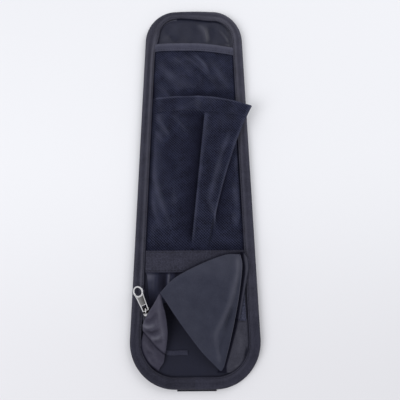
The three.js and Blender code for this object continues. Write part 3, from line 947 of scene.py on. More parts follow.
@dataclass(frozen=True)
class Seam:
    """A line of machine stitches, each a short bead of thread let into the cloth."""

    length: float = 2.4
    gap: float = 0.9
    radius: float = 0.26
    flatness: float = 0.8
    around: int = 6

    def shell(self, path: Array, normals: Array, closed: bool = False) -> Shell:
        """Beads along a path, each with two poles and two rings.

        Args:
            path: The line's points.
            normals: The direction out of the cloth at each point.
            closed: Whether the line returns to its start.

        Returns:
            All the beads as one mesh.
        """
        if closed:
            path, normals = np.concatenate([path, path[:1]]), np.concatenate([normals, normals[:1]])
        run = run_of(path)
        count = max(int(run[-1] / (self.length + self.gap)), 1)
        middle = (np.arange(count) + 0.5) * run[-1] / count

        def read(at: Array, values: Array) -> Array:
            """Values read at lengths along the path."""
            return np.stack([np.interp(at, run, values[:, i]) for i in range(3)], -1)

        start, end = read(middle - self.length / 2, path), read(middle + self.length / 2, path)
        up = read(middle, normals)
        side = np.cross(unit(end - start), up)
        turn = np.linspace(0, 2 * np.pi, self.around, endpoint=False)
        cosine, sine = np.cos(turn)[:, None], np.sin(turn)[:, None]
        place = np.array([0.0, 0.2, 0.8, 1.0])
        girth = np.array([0.0, 1.0, 1.0, 0.0]) * self.radius
        spine = lerp(start[:, None], end[:, None], place[None, :, None])
        ring = cosine * side[:, None, None, :] + self.flatness * sine * up[:, None, None, :]
        points = spine[:, :, None, :] + ring * girth[None, :, None, None]
        size = len(place) * self.around
        quads = poled(grid_quads(len(place), self.around, wrap_columns=True), self.around, size - self.around)
        quads = (quads[None] + size * np.arange(count)[:, None, None]).reshape(-1, 4)
        grid = np.stack(np.meshgrid(place * self.length, turn * self.radius, indexing="ij"), -1)
        return Shell.smooth(points.reshape(-1, 3), quads, np.tile(grid.reshape(-1, 2), (count, 1)))


class SubAssembly(ABC):
    """A group of pieces that are made together."""

    @abstractmethod
    def build(self) -> None:
        """Makes the group's pieces."""


def declare_cloth(
    surface: Surface,
) -> None:
    """Works out a piece's flat size and area along its surface; the result is not used.

    Args:
        surface: Its middle surface.
    """
    (width, down), area = surface.cut


@dataclass
class Back(SubAssembly):
    """The stiff board, the cloth in front of it and behind it, and the strap down its back."""

    cover_inset: float = 1.1
    strap_x: tuple[float, float] = (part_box("back_strap")[0][0] / MM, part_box("back_strap")[1][0] / MM)
    strap_y: tuple[float, float] = (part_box("back_strap")[0][1] / MM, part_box("back_strap")[1][1] / MM)
    strap_z: tuple[float, float] = (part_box("back_strap")[0][2] / MM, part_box("back_strap")[1][2] / MM)
    top_panel: float = 168.0
    folds: tuple[Fold, ...] = (
        Fold(((5, 207), (12, 200), (14.5, 190), (13.5, 180)), 1.5, 3),
        Fold(((20, 203), (22, 193), (21, 180)), -0.5, 4),
        Fold(((-30, 196), (-38, 186), (-44, 178)), 0.4, 3),
        Fold(((-20, 184), (-28, 188), (-36, 197)), -0.4, 3),
        Fold(((32, 199), (38.5, 190), (42, 182)), 1.1, 1.6),
        Fold(((38, 177), (44, 177.5)), 0.9, 1.6),
        Fold(((-30, 183), (-24, 181), (-18, 184)), 0.5, 2),
    )

    @property
    def cover_length(self) -> float:
        """The flat length of the cloth in front of the board and behind it."""
        return OUTLINE.top - OUTLINE.bottom - 2 * self.cover_inset

    def build_lining(self) -> None:
        """The nylon front: creased where it shows above the upper pocket, flat elsewhere."""
        flat = OUTLINE.panel(self.cover_inset, LEVELS.lining - LEVELS.cloth / 2, 260, 110)
        x, y = flat.points[..., 0], flat.points[..., 1]
        shows = smoothstep(y, self.top_panel - 6, self.top_panel + 4)
        inside = smoothstep(OUTLINE.inner(y) - np.abs(x), 0.0, 6.0)
        inside = inside * smoothstep(OUTLINE.top - 14 - y, 0.0, 6.0)
        height = (relief_of(self.folds, x, y) + 0.35 * ripple(x, y, 16.0, 4) + 0.35) * shows * inside
        surface = flat.raised(np.maximum(height, -0.1))
        # Painted shade: the lining is darker inside the pouch, with a painted shadow in the pouch's open
        # mouth and painted shade along the binding's inner edge, which is painted lighter at the top panel
        # instead; painted highlight on its creases.
        pouch = smoothstep(-y, 100.0, 125.0)
        depth = spot(x, y, (-24, -148), (13, 24))
        edge = 1 - smoothstep(OUTLINE.inner(y) - np.abs(x), 0.0, 2.5)
        surface.painted_light_and_tone = 0.1 * height - 0.38 * pouch - 0.5 * depth - 0.5 * edge * (1 - 1.6 * shows)
        obj = place_piece("front_lining_cloth", surface.sheet(LEVELS.cloth), NYLON, ["front_lining"])
        declare_cloth(surface)

    def build_cover(self) -> None:
        """The nylon back, a little uneven over the board."""
        flat = OUTLINE.panel(self.cover_inset, sum(LEVELS.cover) / 2, 200, 70)
        x, y = flat.points[..., 0], flat.points[..., 1]
        flat.points[..., 2] += 0.12 * ripple(x, y, 40.0, 9)
        obj = place_piece("back_cover_cloth", flat.sheet(LEVELS.cloth), NYLON, ["back_cover"])
        declare_cloth(flat)

    def build_strap(self) -> None:
        """The webbing: a flat strip, thinner along both selvedges."""
        x = np.linspace(*self.strap_x, 32)
        y = np.linspace(self.strap_y[1], self.strap_y[0], 220)
        level = np.full((len(y), len(x)), sum(self.strap_z) / 2)
        surface = Surface(np.stack([*np.meshgrid(x, y), level], -1))
        edge = np.minimum(x - x[0], x[-1] - x)
        thickness = (self.strap_z[1] - self.strap_z[0]) * (0.6 + 0.4 * smoothstep(edge, 0.0, 2.0))
        obj = place_piece("back_strap_webbing", surface.sheet(thickness[None, :]), WEBBING, ["back_strap"])
        declare_cloth(surface)

    def build(self) -> None:
        """Makes the front, the back and the strap, and dresses the board."""
        self.build_lining()
        self.build_cover()
        self.build_strap()
        dress(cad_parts["stiffener_board"], BOARD)


@dataclass
class EdgeBinding(SubAssembly):
    """The tape folded over the whole edge, and the stitches along it."""

    stations: int = 1000
    stitch_inset: float = 10.9
    groove_inset: float = 6.2
    front_level: float = 6.9
    section: tuple[tuple[float, float], ...] = (
        (12.6, 7.45), (12.5, 8.0), (11.9, 8.25), (11.3, 8.05), (10.9, 7.75), (10.4, 8.0), (9.2, 8.45),
        (7.6, 8.5), (5.8, 8.35), (4.2, 8.4), (2.6, 8.2), (1.2, 7.5), (0.3, 6.3), (0.0, 4.8), (0.2, 3.2),
        (0.9, 2.1), (2.2, 1.6), (5.0, 1.5), (9.0, 1.5), (12.3, 1.5), (12.6, 1.9),
    )
    lining: tuple[tuple[float, float], ...] = (
        (12.2, 2.3), (6.0, 2.3), (1.0, 2.4), (0.8, 4.7), (1.0, 7.0), (6.0, 7.1), (12.2, 7.1),
    )

    def build(self) -> None:
        """Carries the section round the outline, with a groove that comes and goes, and sews it."""
        path, outward = OUTLINE.path(self.stations)
        outer = catmull(np.array(self.section), np.linspace(0, 1, 46))
        section = np.concatenate([outer, np.array(self.lining)])
        inset, level = section[:, 0], section[:, 1]
        s = np.linspace(0, 2 * np.pi, self.stations, endpoint=False)[:, None]
        x, y = path[:, :1], path[:, 1:]
        front = (level > self.front_level)[None, :]
        wider = 1 + front * self.extra(*(path - outward * inset.max()).T)[:, None] / inset.max()
        reach, inset = inset[None, :] * wider, np.broadcast_to(inset, wider.shape)
        top = smoothstep(level[None, :], 7.0, 7.6) * (np.arange(len(section)) < len(outer))
        waves = 0.18 * np.sin(9 * s + 1) + 0.13 * np.sin(23 * s) + 0.1 * np.sin(41 * s + 2)
        left_top = smoothstep(-x, 20.0, 50.0) * smoothstep(y, 40.0, 90.0)
        groove = (0.35 + 0.6 * left_top) * bell(inset - self.groove_inset, 1.5)
        bulge = bell(inset - 8.0, 3.0) * (waves + 0.12)
        points = np.empty((self.stations, len(section), 3))
        points[..., :2] = path[:, None] - outward[:, None] * reach[..., None]
        points[..., 2] = level + top * (bulge - groove)
        shell = ring_shell(points[:, ::-1], self.painted_light_and_tone(s, x, y, inset, top)[:, ::-1])
        obj = place_piece("edge_binding_tape", shell, BINDING, ["edge_binding"])
        self.sew(path, outward)

    def painted_light_and_tone(self, s: Array, x: Array, y: Array, inset: Array, top: Array) -> Array:
        """Painted highlight on the tape's two ridges and painted shade in its groove and along its inner
        edge; the tape is also darker towards the bottom, lighter at the upper right, and varies a little in
        tone along its length.

        Args:
            s: The turn round the outline at each station, in radians.
            x: The outline's x there.
            y: The outline's y there.
            inset: How far each point lies inside the outline.
            top: 1 on the tape's upper face and 0 elsewhere.

        Returns:
            A tint for each station and each point of the section.
        """
        # Painted highlight on the two ridges, painted shade in the groove and along the inner edge.
        ridges = bell(inset - 9.2, 1.7) + 0.45 * bell(inset - 2.2, 1.6)
        low = bell(inset - self.groove_inset, 1.4)
        gap = smoothstep(inset, 12.0, 12.6)
        stripes = 0.5 + 0.5 * smoothstep(-x, 20.0, 50.0) * (1 - smoothstep(y, 180.0, 205.0))
        fade = 0.75 + 0.25 * np.sin(5 * s + 0.4) - 0.3 * smoothstep(-y, 150.0, 190.0)
        painted_light_and_tone = top * fade * stripes * (0.3 * ridges - 0.22 * low)
        painted_light_and_tone = painted_light_and_tone - gap * (0.75 - 0.6 * smoothstep(y, 172.0, 190.0)) + 0.04 * np.sin(7 * s)
        # Darker towards the bottom and lighter at the upper right.
        painted_light_and_tone -= 0.22 * smoothstep(-y, 120.0, 200.0) + 0.08 * smoothstep(-y, -60.0, 60.0)
        return painted_light_and_tone + 0.07 * smoothstep(x, 20.0, 45.0) * smoothstep(y, 20.0, 80.0)

    @staticmethod
    def extra(x: Array, y: Array) -> Array:
        """How much wider the front of the tape lies, in bell-shaped stretches of the upper corners.

        Args:
            x: The places' x.
            y: Their y.

        Returns:
            The extra width at each place.
        """
        left = 4.2 * spot(x, y, (-45, 188), (10, 15))
        middle = -1.6 * spot(x, y, (-18, 214), (13, 9))
        right = 2.4 * spot(x, y, (20, 210), (15, 12))
        return left + middle + right

    def sew(self, path: Array, outward: Array) -> None:
        """A line of stitches in the groove along the inner edge, on the front and on the back.

        Args:
            path: The outline's points.
            outward: The outward direction at each.
        """
        lines = []
        for level, up in ((7.85, 1.0), (1.5, -1.0)):
            line = np.column_stack([path - outward * self.stitch_inset, np.full(len(path), level)])
            lines.append(Seam().shell(line, np.tile([0.0, 0.0, up], (len(path), 1)), closed=True))
        place_piece("edge_binding_stitches", Shell.joined(lines), THREAD)


@dataclass
class UpperPocket(SubAssembly):
    """The upper net pocket and the tape that trims its mouth."""

    trim_bottom: float = 165.4
    trim_tilt: float = 0.052
    trim_width: float = 10.6
    rise: float = 5.5
    tuck: float = 4.0
    folds: tuple[Fold, ...] = (
        Fold(((-12, 160), (2, 147), (14, 134)), 2.2, 2.8),
        Fold(((-26, 159), (-12, 146), (2, 130)), 1.9, 2.8),
        Fold(((0, 161), (11, 149), (18, 136)), 2.2, 2.6),
        Fold(((-46, 150), (-28, 133), (-6, 116)), 1.6, 6),
        Fold(((20, 150), (32, 132), (40, 114)), 1.4, 5),
        Fold(((-6, 154), (8, 139), (20, 120)), -1.5, 2.6),
        Fold(((-20, 154), (-6, 140), (6, 124)), -1.2, 2.4),
        Fold(((-46, 124), (-36, 112), (-26, 102)), 1, 3.5),
    )

    @property
    def trim_level(self) -> float:
        """The middle level of the trim at its ends."""
        return LEVELS.tucked + LEVELS.cloth + LEVELS.gap

    def mouth(self, u: Array) -> Array:
        """How far the mouth stands off the lining: a half wave across the pocket."""
        return self.rise * np.cos(np.clip(u, -1, 1) * np.pi / 2)

    def net_surface(self) -> Surface:
        """The net, from inside the trim down behind the next pocket.

        Returns:
            The net's middle surface.
        """
        rows, columns = 90, 90
        v = np.linspace(0, 1, rows)[:, None]
        s = np.linspace(-1, 1, columns)[None, :]
        side = OUTLINE.inner(lerp(self.trim_bottom + self.trim_width - 2, MIDDLE_HEM - 10, v))
        x = s * (side + self.tuck * 0.6)
        start = self.trim_bottom - self.trim_tilt * x + self.trim_width - 1.6
        y = lerp(start, MIDDLE_HEM - self.trim_width, v)
        u = np.clip(x / OUTLINE.inner(y), -1, 1)
        fall = (1 - v) ** 0.7
        at_trim = 1 - smoothstep(v, 0.1, 0.2)
        z = LEVELS.tucked + self.mouth(u) * fall
        z = z + (self.trim_level - LEVELS.tucked) * at_trim * (1 - np.abs(u) ** 8)
        surface = Surface(np.stack([x, y, z], -1))
        free = (1 - np.abs(u) ** 6) * smoothstep(v, 0.08, 0.25) * (1 - smoothstep(v, 0.85, 1.0))
        wrinkles = relief_of(self.folds, x, y) + 0.45 * ripple(x, y, 14.0, 3) + 0.3
        # Painted shadow where the middle pocket's hem stands over the net, along both sides at the binding
        # and in the slit at the left; painted highlight on the wrinkles.
        painted_shadow = bell(y - 107, 6) * (0.8 * bell(x - 2, 17) + 0.3 * smoothstep(x, 8.0, 30.0))
        painted_shadow += 0.8 * smoothstep(np.abs(u), 0.965, 0.99)
        painted_shadow += 1.2 * spot(x, y, (-50.5, 112), (2.4, 12))
        painted_light_and_tone = 0.1 * wrinkles * free - 0.85 * painted_shadow
        return replace(surface.raised(wrinkles * free), painted_light_and_tone=painted_light_and_tone, level_pattern=True)

    def trim_surface(self) -> Surface:
        """The tape, folded over the net's edge: two leaves joined by a round fold along the top.

        Returns:
            The tape's middle surface.
        """
        leaf = 0.95
        across = np.linspace(-1, 1, 80)
        fold = catmull(np.array([
            (0.0, leaf), (3.5, leaf + 0.25), (7.0, leaf + 0.15), (9.6, leaf), (10.6, 0.0), (9.6, -leaf),
            (5.0, -leaf), (0.0, -leaf),
        ]), np.linspace(0, 1, 34))
        x = across[None, :] * (OUTLINE.inner(self.trim_bottom + 5) + 1.0)
        u = across[None, :]
        up, lift = fold[::-1, 0][:, None], fold[::-1, 1][:, None]
        squeeze = 1 - 0.7 * np.abs(u) ** 12
        y = self.trim_bottom - self.trim_tilt * x + up + 0.25 * np.sin(x / 9)
        z = self.trim_level - 0.5 * np.abs(u) ** 12 + self.mouth(u) + lift * squeeze
        return Surface(np.stack([np.broadcast_to(x, y.shape), y, z], -1)[::-1])

    def build(self) -> None:
        """Makes the net, its trim and the trim's stitches."""
        net = self.net_surface()
        obj = place_piece("upper_pocket_net", net.sheet(LEVELS.cloth), NET, ["upper_pocket_mesh"])
        declare_cloth(net)
        trim = self.trim_surface()
        up = (trim.points[..., 1] - self.trim_bottom + self.trim_tilt * trim.points[..., 0]) / self.trim_width
        # Painted highlight near the tape's top and painted shade across its middle.
        trim.painted_light_and_tone = 0.15 * bell(up - 0.8, 0.12) - 0.15 * bell(up - 0.42, 0.1)
        obj = place_piece("upper_pocket_tape", trim.sheet(0.7), TRIM, ["upper_pocket_trim"])
        declare_cloth(trim)
        x = np.linspace(-1, 1, 60) * OUTLINE.inner(self.trim_bottom)
        u = x / OUTLINE.inner(self.trim_bottom)
        y = self.trim_bottom - self.trim_tilt * x + 2.0
        line = np.column_stack([x, y, self.trim_level + self.mouth(u) + 1.5])
        seam = Seam().shell(line, np.tile(UP, (len(x), 1)))
        place_piece("upper_pocket_stitches", seam, THREAD)


@dataclass
class MiddlePocket(SubAssembly):
    """The middle net pocket: a knife pleat down its front and a free fold that has flopped to the right."""

    tuck: float = 4.0
    depth: float = 8.5
    swing: float = 68.0
    fold_height: float = 2.8
    hem_drop: float = 16.0
    hem_width: float = 20.0
    pleat: float = 7.0
    pleat_line: tuple[tuple[float, float], tuple[float, float]] = ((-3.5, -74.0), (12.5, 81.0))
    folds: tuple[Fold, ...] = (
        Fold(
            ((-50.5, 64), (-47.5, 34), (-46.5, 8), (-39, -24), (-28, -50), (-20, -72)),
            2.4, 3.8,
        ),
        Fold(((-51.5, 8), (-50, -14), (-45, -36), (-38, -58)), 1.6, 3.6),
        Fold(((-45, 80), (-38, 67), (-29, 53)), 1.9, 3.6),
        Fold(((-49, 66), (-41, 52), (-33, 40)), 1.2, 3.2),
        Fold(((-26, 80), (-15, 66), (-4, 52)), 1.7, 3.8),
        Fold(((-14, 80), (-6, 68), (2, 58)), 1, 3),
        Fold(((-34, 70), (-25, 56), (-18, 44)), -1.2, 3.4),
        Fold(((-32, 44), (-27, 18), (-22, -8)), -1.6, 6),
        Fold(((-20, 16), (-22, -14), (-20, -44)), 1.3, 5),
        Fold(((-36, -30), (-28, -52), (-20, -68)), -1, 4),
        Fold(((42, 58), (33, 32), (24, 4), (16, -28)), 1.6, 3.2),
        Fold(((26, 62), (20, 24), (12, -16)), -1.1, 4.5),
        Fold(((52, 66), (42, 44), (36, 26)), -0.8, 3),
        Fold(((14, -20), (24, -44), (33, -66)), 1.2, 3.2),
        Fold(((38, 6), (46, -14), (50, -34)), 1, 3.6),
        Fold(((34, -24), (44, -44), (50, -60)), 0.8, 3),
    )

    def across(self, up: Array) -> Array:
        """Control points of the cloth's section at each height.

        From the left binding the section rises to the pleat, turns under it and back, runs on to the
        free fold, round it, and back under it down to the right binding.

        Args:
            up: Shares of the pocket's height, as a column.

        Returns:
            The control points' x, level and tint, as heights by points by three.
        """
        flat = smoothstep(up, 0.03, 0.14)
        fold_flat = smoothstep(up, 0.1, 0.25)
        fold_x = lerp(OUTLINE.inner(BAND_TOP) * 0.3, self.swing, up**1.35)
        y = lerp(BAND_TOP - self.tuck, MIDDLE_HEM, up)
        left, right = -OUTLINE.inner(y), OUTLINE.inner(y)
        lift = self.depth * up**0.6
        level = LEVELS.on_lip + self.fold_height + lift * (0.25 + 0.75 * up)
        nose = self.fold_height / 2
        lip = right - nose - LEVELS.cloth

        def front(x: Array) -> Array:
            """The front's level: a root curve from the binding to the fold, with a slight crown."""
            s = np.clip((x - left) / (fold_x - left), 0, 1)
            return lerp(LEVELS.tucked, level, np.sqrt(s)) + lift * 0.2 * np.sin(np.pi * s)

        (x0, y0), (x1, y1) = self.pleat_line
        crease = lerp(x0, x1, (y - y0) / (y1 - y0))
        turned = 1 - smoothstep(y, MIDDLE_HEM - self.hem_width - 5, MIDDLE_HEM - self.hem_width + 1)
        tuck = self.pleat * turned * (0.3 + 0.7 * flat) + 0.4
        dip = turned * flat
        points: list[Array] = []

        def add(x: Array, z: Array, painted_light_and_tone: Any = 0.0) -> None:
            """Notes one control point for every height."""
            points.append(np.concatenate(np.broadcast_arrays(x, z, painted_light_and_tone * np.ones_like(up)), 1))

        def add_front(x: Array, extra: Array, painted_light_and_tone: Any = 0.0) -> None:
            """Notes a point on the front, a little above or below its curve."""
            add(x, lerp(LEVELS.tucked, front(x) + extra, flat), painted_light_and_tone)

        # Painted shade: the points tucked under the binding are darker.
        add(left - self.tuck, LEVELS.tucked, -0.8)
        add(left + 0.6, LEVELS.tucked, -0.5)
        # Painted shade deepening towards the pleat on the left panel.
        for share in (0.1, 0.26, 0.44, 0.62, 0.78, 0.9):
            add_front(lerp(left, crease, share), -4.4 * dip * share**3, -0.85 * dip * share**4)
        # Painted shade under the pleat and a painted highlight on its edge.
        under_pleat = (
            (0.35, -4.2, -0.8), (0.8, -3.7, -0.9), (1.0, -2.7, -0.9), (0.8, -1.5, -0.9), (0.3, -0.4, -0.6),
            (0.02, 0.4, -0.1), (0.15, 1.0, 0.16),
        )
        for across, extra, painted_light_and_tone in under_pleat:
            add_front(crease + tuck * across, extra * dip, painted_light_and_tone * dip)
        for share in (0.16, 0.36, 0.56, 0.76, 0.9):
            add_front(lerp(crease, fold_x, share), 1.1 * dip * (1 - share))
        under = lerp(level - self.fold_height, LEVELS.on_lip, 0.6)
        # Painted highlight on the free fold's nose and painted shade under it and where it tucks under the
        # binding.
        folded = (
            (fold_x - nose, level, 0.15), (fold_x - nose * 0.3, level - nose * 0.3, 0.2),
            (fold_x, level - nose, -0.1), (fold_x - nose * 0.3, level - nose * 1.7, -0.6),
            (fold_x - nose, level - self.fold_height, -0.8),
            (lerp(fold_x - nose, lip, 0.3), lerp(level - self.fold_height, under, 0.6), -0.3),
            (lerp(fold_x - nose, lip, 0.6), under, -0.05),
            (lerp(fold_x - nose, lip, 0.85), lerp(under, LEVELS.on_lip, 0.6), 0.05),
            (lip, LEVELS.on_lip, -0.1), (lip - LEVELS.cloth, LEVELS.tucked + 0.6, -0.6),
        )
        for i, (x, z, painted_light_and_tone) in enumerate(folded):
            spread = lerp(fold_x - nose, right - self.tuck, i / (len(folded) - 1))
            add(lerp(spread, x, fold_flat), lerp(LEVELS.tucked, z, flat * fold_flat), painted_light_and_tone * fold_flat)
        # Painted shade: the points tucked under the binding are darker.
        add(right - 0.6, LEVELS.tucked, -0.5)
        add(right + self.tuck, LEVELS.tucked, -0.8)
        return np.stack(points, 1)

    def surface(self) -> tuple[Surface, Array]:
        """The cloth's middle surface, and how far each row lies below the hem's top edge.

        Returns:
            Both, the second as a column.
        """
        hem_share = self.hem_width / (MIDDLE_HEM - BAND_TOP + self.tuck)
        step = 0.0015
        in_hem = np.linspace(1, 1 - hem_share + step, 16)
        up = np.concatenate([in_hem, np.linspace(1 - hem_share, 0, 110)])[:, None]
        control = self.across(up)
        columns = (control.shape[1] - 1) * 5 + 1
        x, z, painted_light_and_tone = np.moveaxis(catmull(control.swapaxes(0, 1), np.linspace(0, 1, columns)), -1, 0)
        x, z, painted_light_and_tone = x.T, z.T, painted_light_and_tone.T
        y = np.broadcast_to(lerp(BAND_TOP - self.tuck, MIDDLE_HEM, up), x.shape)
        left = -OUTLINE.inner(y)
        reach = np.clip((x - left) / (self.swing - left), 0, None)
        y = y - self.hem_drop * up**2 * reach**3
        below = (1 - up) * (MIDDLE_HEM - BAND_TOP + self.tuck)
        surface = Surface(np.stack([x, y, z], -1), level_pattern=True)
        inside = smoothstep(OUTLINE.inner(y) - np.abs(x), -4.0, 6.0)
        free = np.maximum(inside, smoothstep(up, 0.5, 0.8)) * smoothstep(up, 0.04, 0.2)
        wrinkles = relief_of(self.folds, x, y) + 0.6 * ripple(x, y, 20.0, 5)
        wrinkles += 0.9 * bell(x - 5, 3.5) * (below < self.hem_width)
        height = np.where(x < left + 1, 0, wrinkles * free * smoothstep(x, left, left + 5))
        surface.points[..., 2] += height
        # Painted highlight on the wrinkles and a thin painted highlight along the hem's top edge, a thin
        # darker line along the hem's lower edge, and painted shade at the bottom, where the net goes under
        # the band.
        line = bell(below - self.hem_width, 1.1)
        surface.painted_light_and_tone = painted_light_and_tone + 0.105 * height - 0.1 * line + 0.2 * (below < 1.4)
        surface.painted_light_and_tone -= 0.3 * bell(below - MIDDLE_HEM + BAND_TOP + 2, 5)
        return surface, below

    def build(self) -> None:
        """Makes the net with its doubled hem, and the hem's stitches."""
        surface, below = self.surface()
        in_hem = below < self.hem_width
        thickness = np.where(in_hem, 0.9, LEVELS.cloth) * np.ones(surface.points.shape[:2])
        obj = place_piece("middle_pocket_net", surface.sheet(thickness), NET, ["middle_pocket_mesh"])
        declare_cloth(surface)
        row = int(np.argmax(~in_hem[:, 0])) - 2
        front = slice(6, surface.points.shape[1] * 3 // 4)
        normals = surface.normals[row, front]
        seam = Seam().shell(surface.points[row, front] + normals * 0.45, normals)
        place_piece("middle_pocket_stitches", seam, NET_THREAD)


PERCENT = 0.01


@dataclass(frozen=True)
class Wall:
    """One soft wall of the pouch.

    Attributes:
        name: The piece's name.
        table: Its control points in percent.
        finish: Its cloth.
        node: The node that it stands for.
        folds: Its wrinkles.
        held: How the sheet is held; not used.
        rests_on: What it rests on; not used.
        uneven: The height of the finer unevenness.
        dark: How much painted shade lies along the upper, lower, left and right edges.
        shade: How much painted shade darkens the whole wall.
        shadowed_by_front: Whether the front's right edge hangs over it and lays a painted shadow on it.
    """

    name: str
    table: tuple
    finish: Fabric
    node: str
    folds: tuple[Fold, ...]
    held: str
    rests_on: tuple[str, ...]
    uneven: float
    dark: tuple[float, float, float, float]
    shade: float = 0.0
    shadowed_by_front: bool = False


